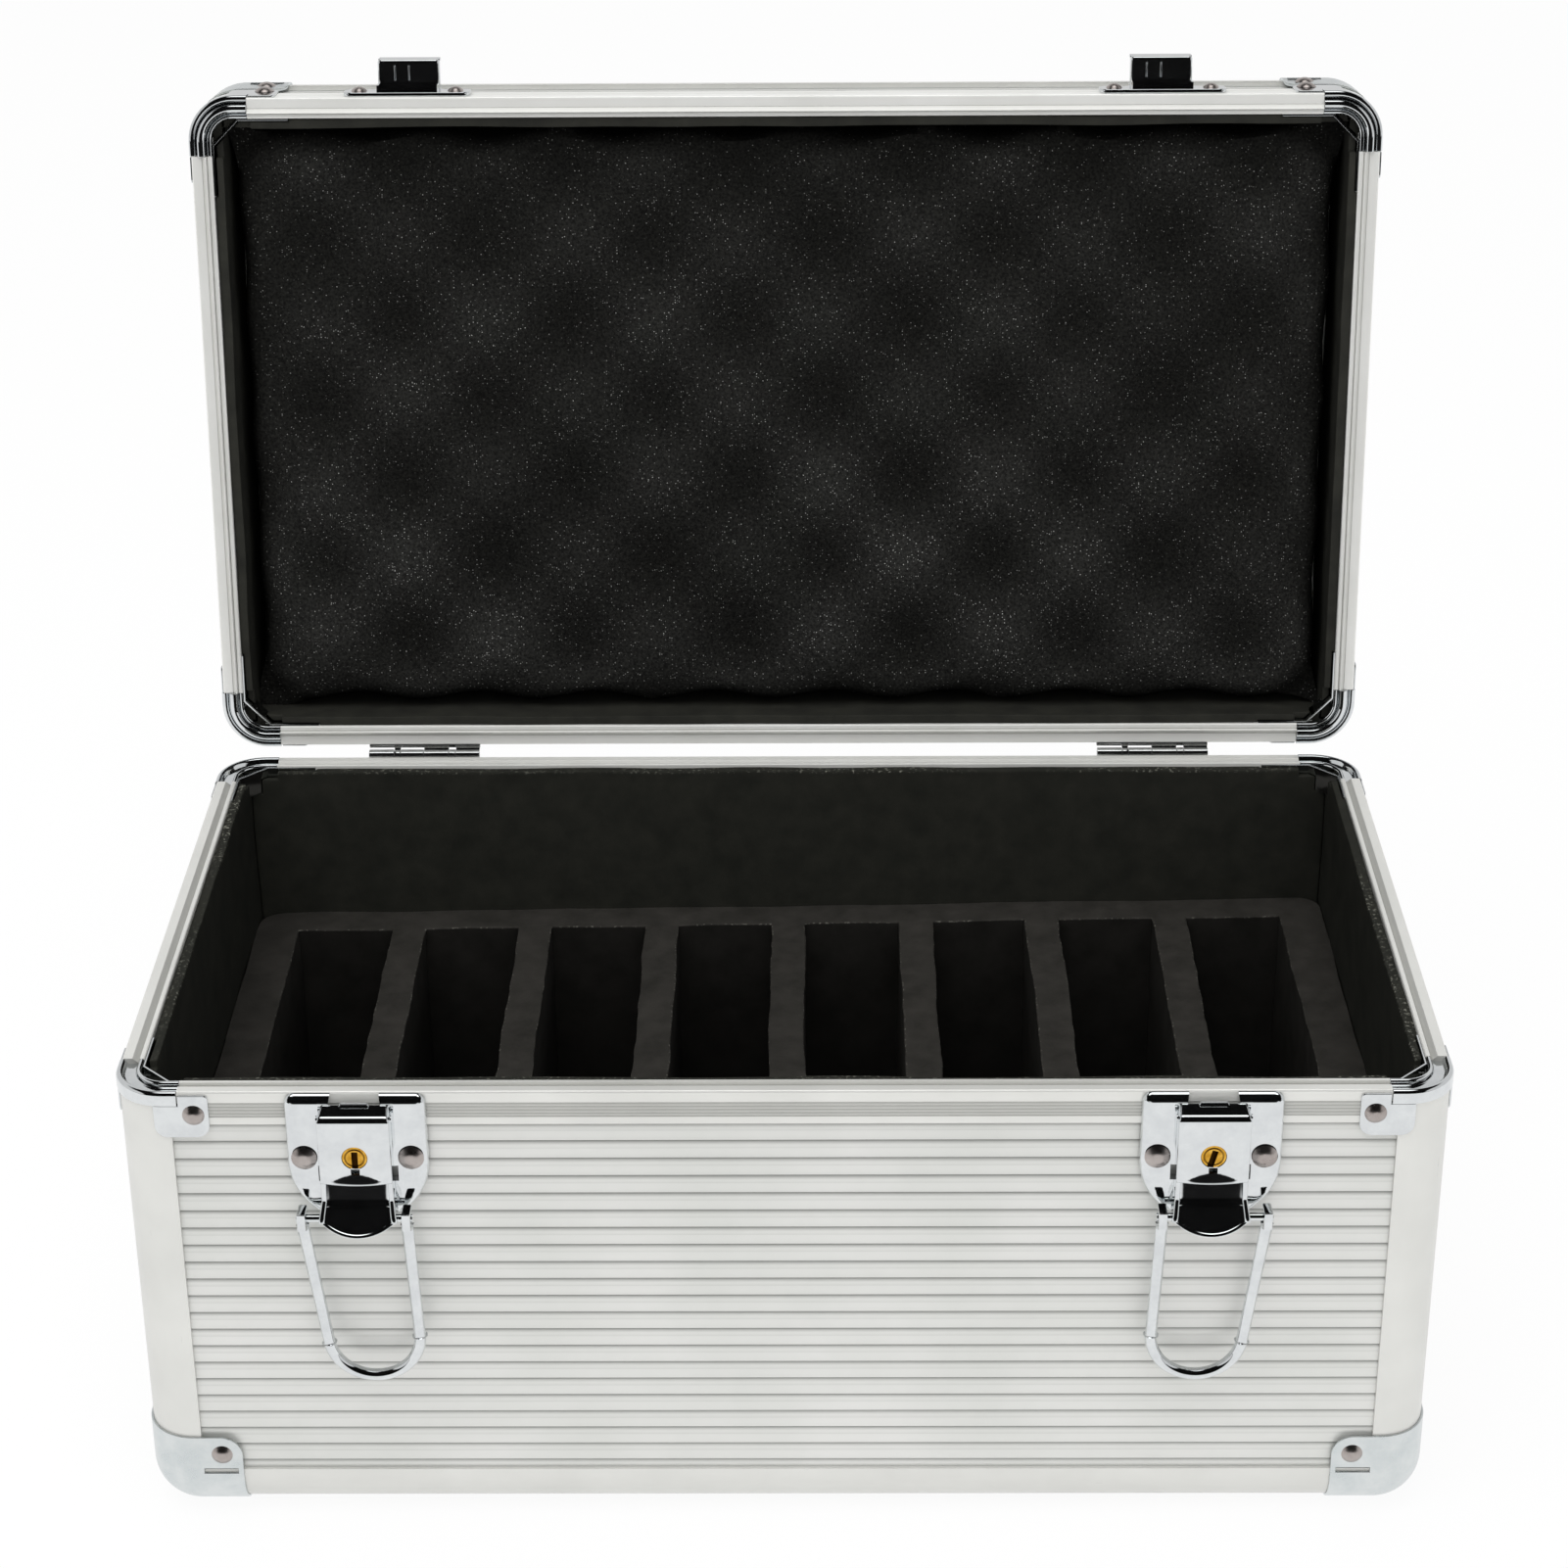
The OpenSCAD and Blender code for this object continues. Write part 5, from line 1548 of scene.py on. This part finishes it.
# %% [markdown]
# ## The room
#
# Chrome shows whatever surrounds it, so the room matters: around the table it is dim,
# and above the case, a little behind it, hangs one big soft box, with pale screens at the
# back and the sides. Lamps could be built for these, but bands of the sky's direction do
# it without noise. Only reflections see that room; to the eye it stays white.

# %% Room
SOFTBOX_AIM = (0, 0.06, 0.998)
SOFTBOX_GLOW = 2.6
SKY = 0.75

world = bpy.data.worlds.new("studio")
scene.world = world
world.use_nodes = True
tree = world.node_tree
rays = add(tree, "ShaderNodeLightPath")
aim = add(tree, "ShaderNodeTexCoord").outputs["Generated"]
ways = add(tree, "ShaderNodeSeparateXYZ", {"Vector": aim})
dim = add(tree, "ShaderNodeValToRGB", {"Fac": ways.outputs["Z"]}, (
    (0.0, "#161616"), (0.1, "#101010"), (0.3, "#0a0a0a"), (0.9, "#121212")))
back = add(tree, "ShaderNodeMapRange", {
    "Value": ways.outputs["Y"], "From Min": 0.0, "From Max": 0.3
}, interpolation_type="SMOOTHSTEP")
below = add(tree, "ShaderNodeMapRange", {
    "Value": ways.outputs["Z"], "From Min": 0.80, "From Max": 0.66
}, interpolation_type="SMOOTHSTEP")
sweep = add(tree, "ShaderNodeMath", {
    0: back.outputs["Result"], 1: below.outputs["Result"]
}, operation="MULTIPLY")
sideways = add(tree, "ShaderNodeMath", {0: ways.outputs["X"]}, operation="ABSOLUTE")
screens = add(tree, "ShaderNodeMapRange", {
    "Value": sideways.outputs["Value"], "From Min": 0.66, "From Max": 0.74
}, interpolation_type="SMOOTHSTEP")
pale = add(tree, "ShaderNodeMath", {
    0: sweep.outputs["Value"], 1: screens.outputs["Result"]
}, operation="MAXIMUM")
walls = add(tree, "ShaderNodeMix", {
    "Factor": pale.outputs["Value"], "A": dim.outputs["Color"], "B": colour("#f4f4f4")
}, data_type="RGBA")
toward = add(tree, "ShaderNodeVectorMath", {0: aim, 1: SOFTBOX_AIM}, operation="DOT_PRODUCT")
box = add(tree, "ShaderNodeMapRange", {
    "Value": toward.outputs["Value"], "From Min": 0.945, "From Max": 0.975
}, interpolation_type="SMOOTHSTEP")
room = add(tree, "ShaderNodeMix", {
    "Factor": box.outputs["Result"], "A": walls.outputs["Result"], "B": (*[SOFTBOX_GLOW] * 3, 1)
}, data_type="RGBA")
mixed = add(tree, "ShaderNodeMix", {
    "Factor": rays.outputs["Is Glossy Ray"], "A": (1, 1, 1, 1), "B": room.outputs["Result"]
}, data_type="RGBA")
white = add(tree, "ShaderNodeMix", {
    "Factor": rays.outputs["Is Camera Ray"], "A": mixed.outputs["Result"], "B": (*[1 / SKY] * 3, 1)
}, data_type="RGBA")
wire(tree, tree.nodes["Background"], {"Color": white.outputs["Result"], "Strength": SKY})
print("the room has", len(tree.nodes), "nodes")

# %% [markdown]
# ## The lamps
#
# A large soft lamp overhead gives the shadow under the case, and a smaller one in front
# fills the boards. Both are large squares, since a small lamp would throw a hard shadow,
# and they don't show in the chrome, which already has the soft box.

# %% Lamps
def soft_lamp(name, place, target, size, watts):
    """A square area lamp that stands at a place and faces a target."""
    lamp = bpy.data.objects.new(name, bpy.data.lights.new(name, "AREA"))
    lamp.data.shape = "SQUARE"
    lamp.data.size = size
    lamp.data.energy = watts
    aim = (Vector(target) - Vector(place)).to_track_quat("-Z", "Y").to_matrix().to_4x4()
    lamp.matrix_world = Matrix.Translation(place) @ aim
    lamp.visible_glossy = False
    scene.collection.objects.link(lamp)


soft_lamp("overhead", (-0.3, -0.5, 1.7), (0, 0, 0.1), 1.4, 17)
soft_lamp("front", (0.5, -1.7, 0.9), (0, 0, 0.12), 1.0, 5.5)
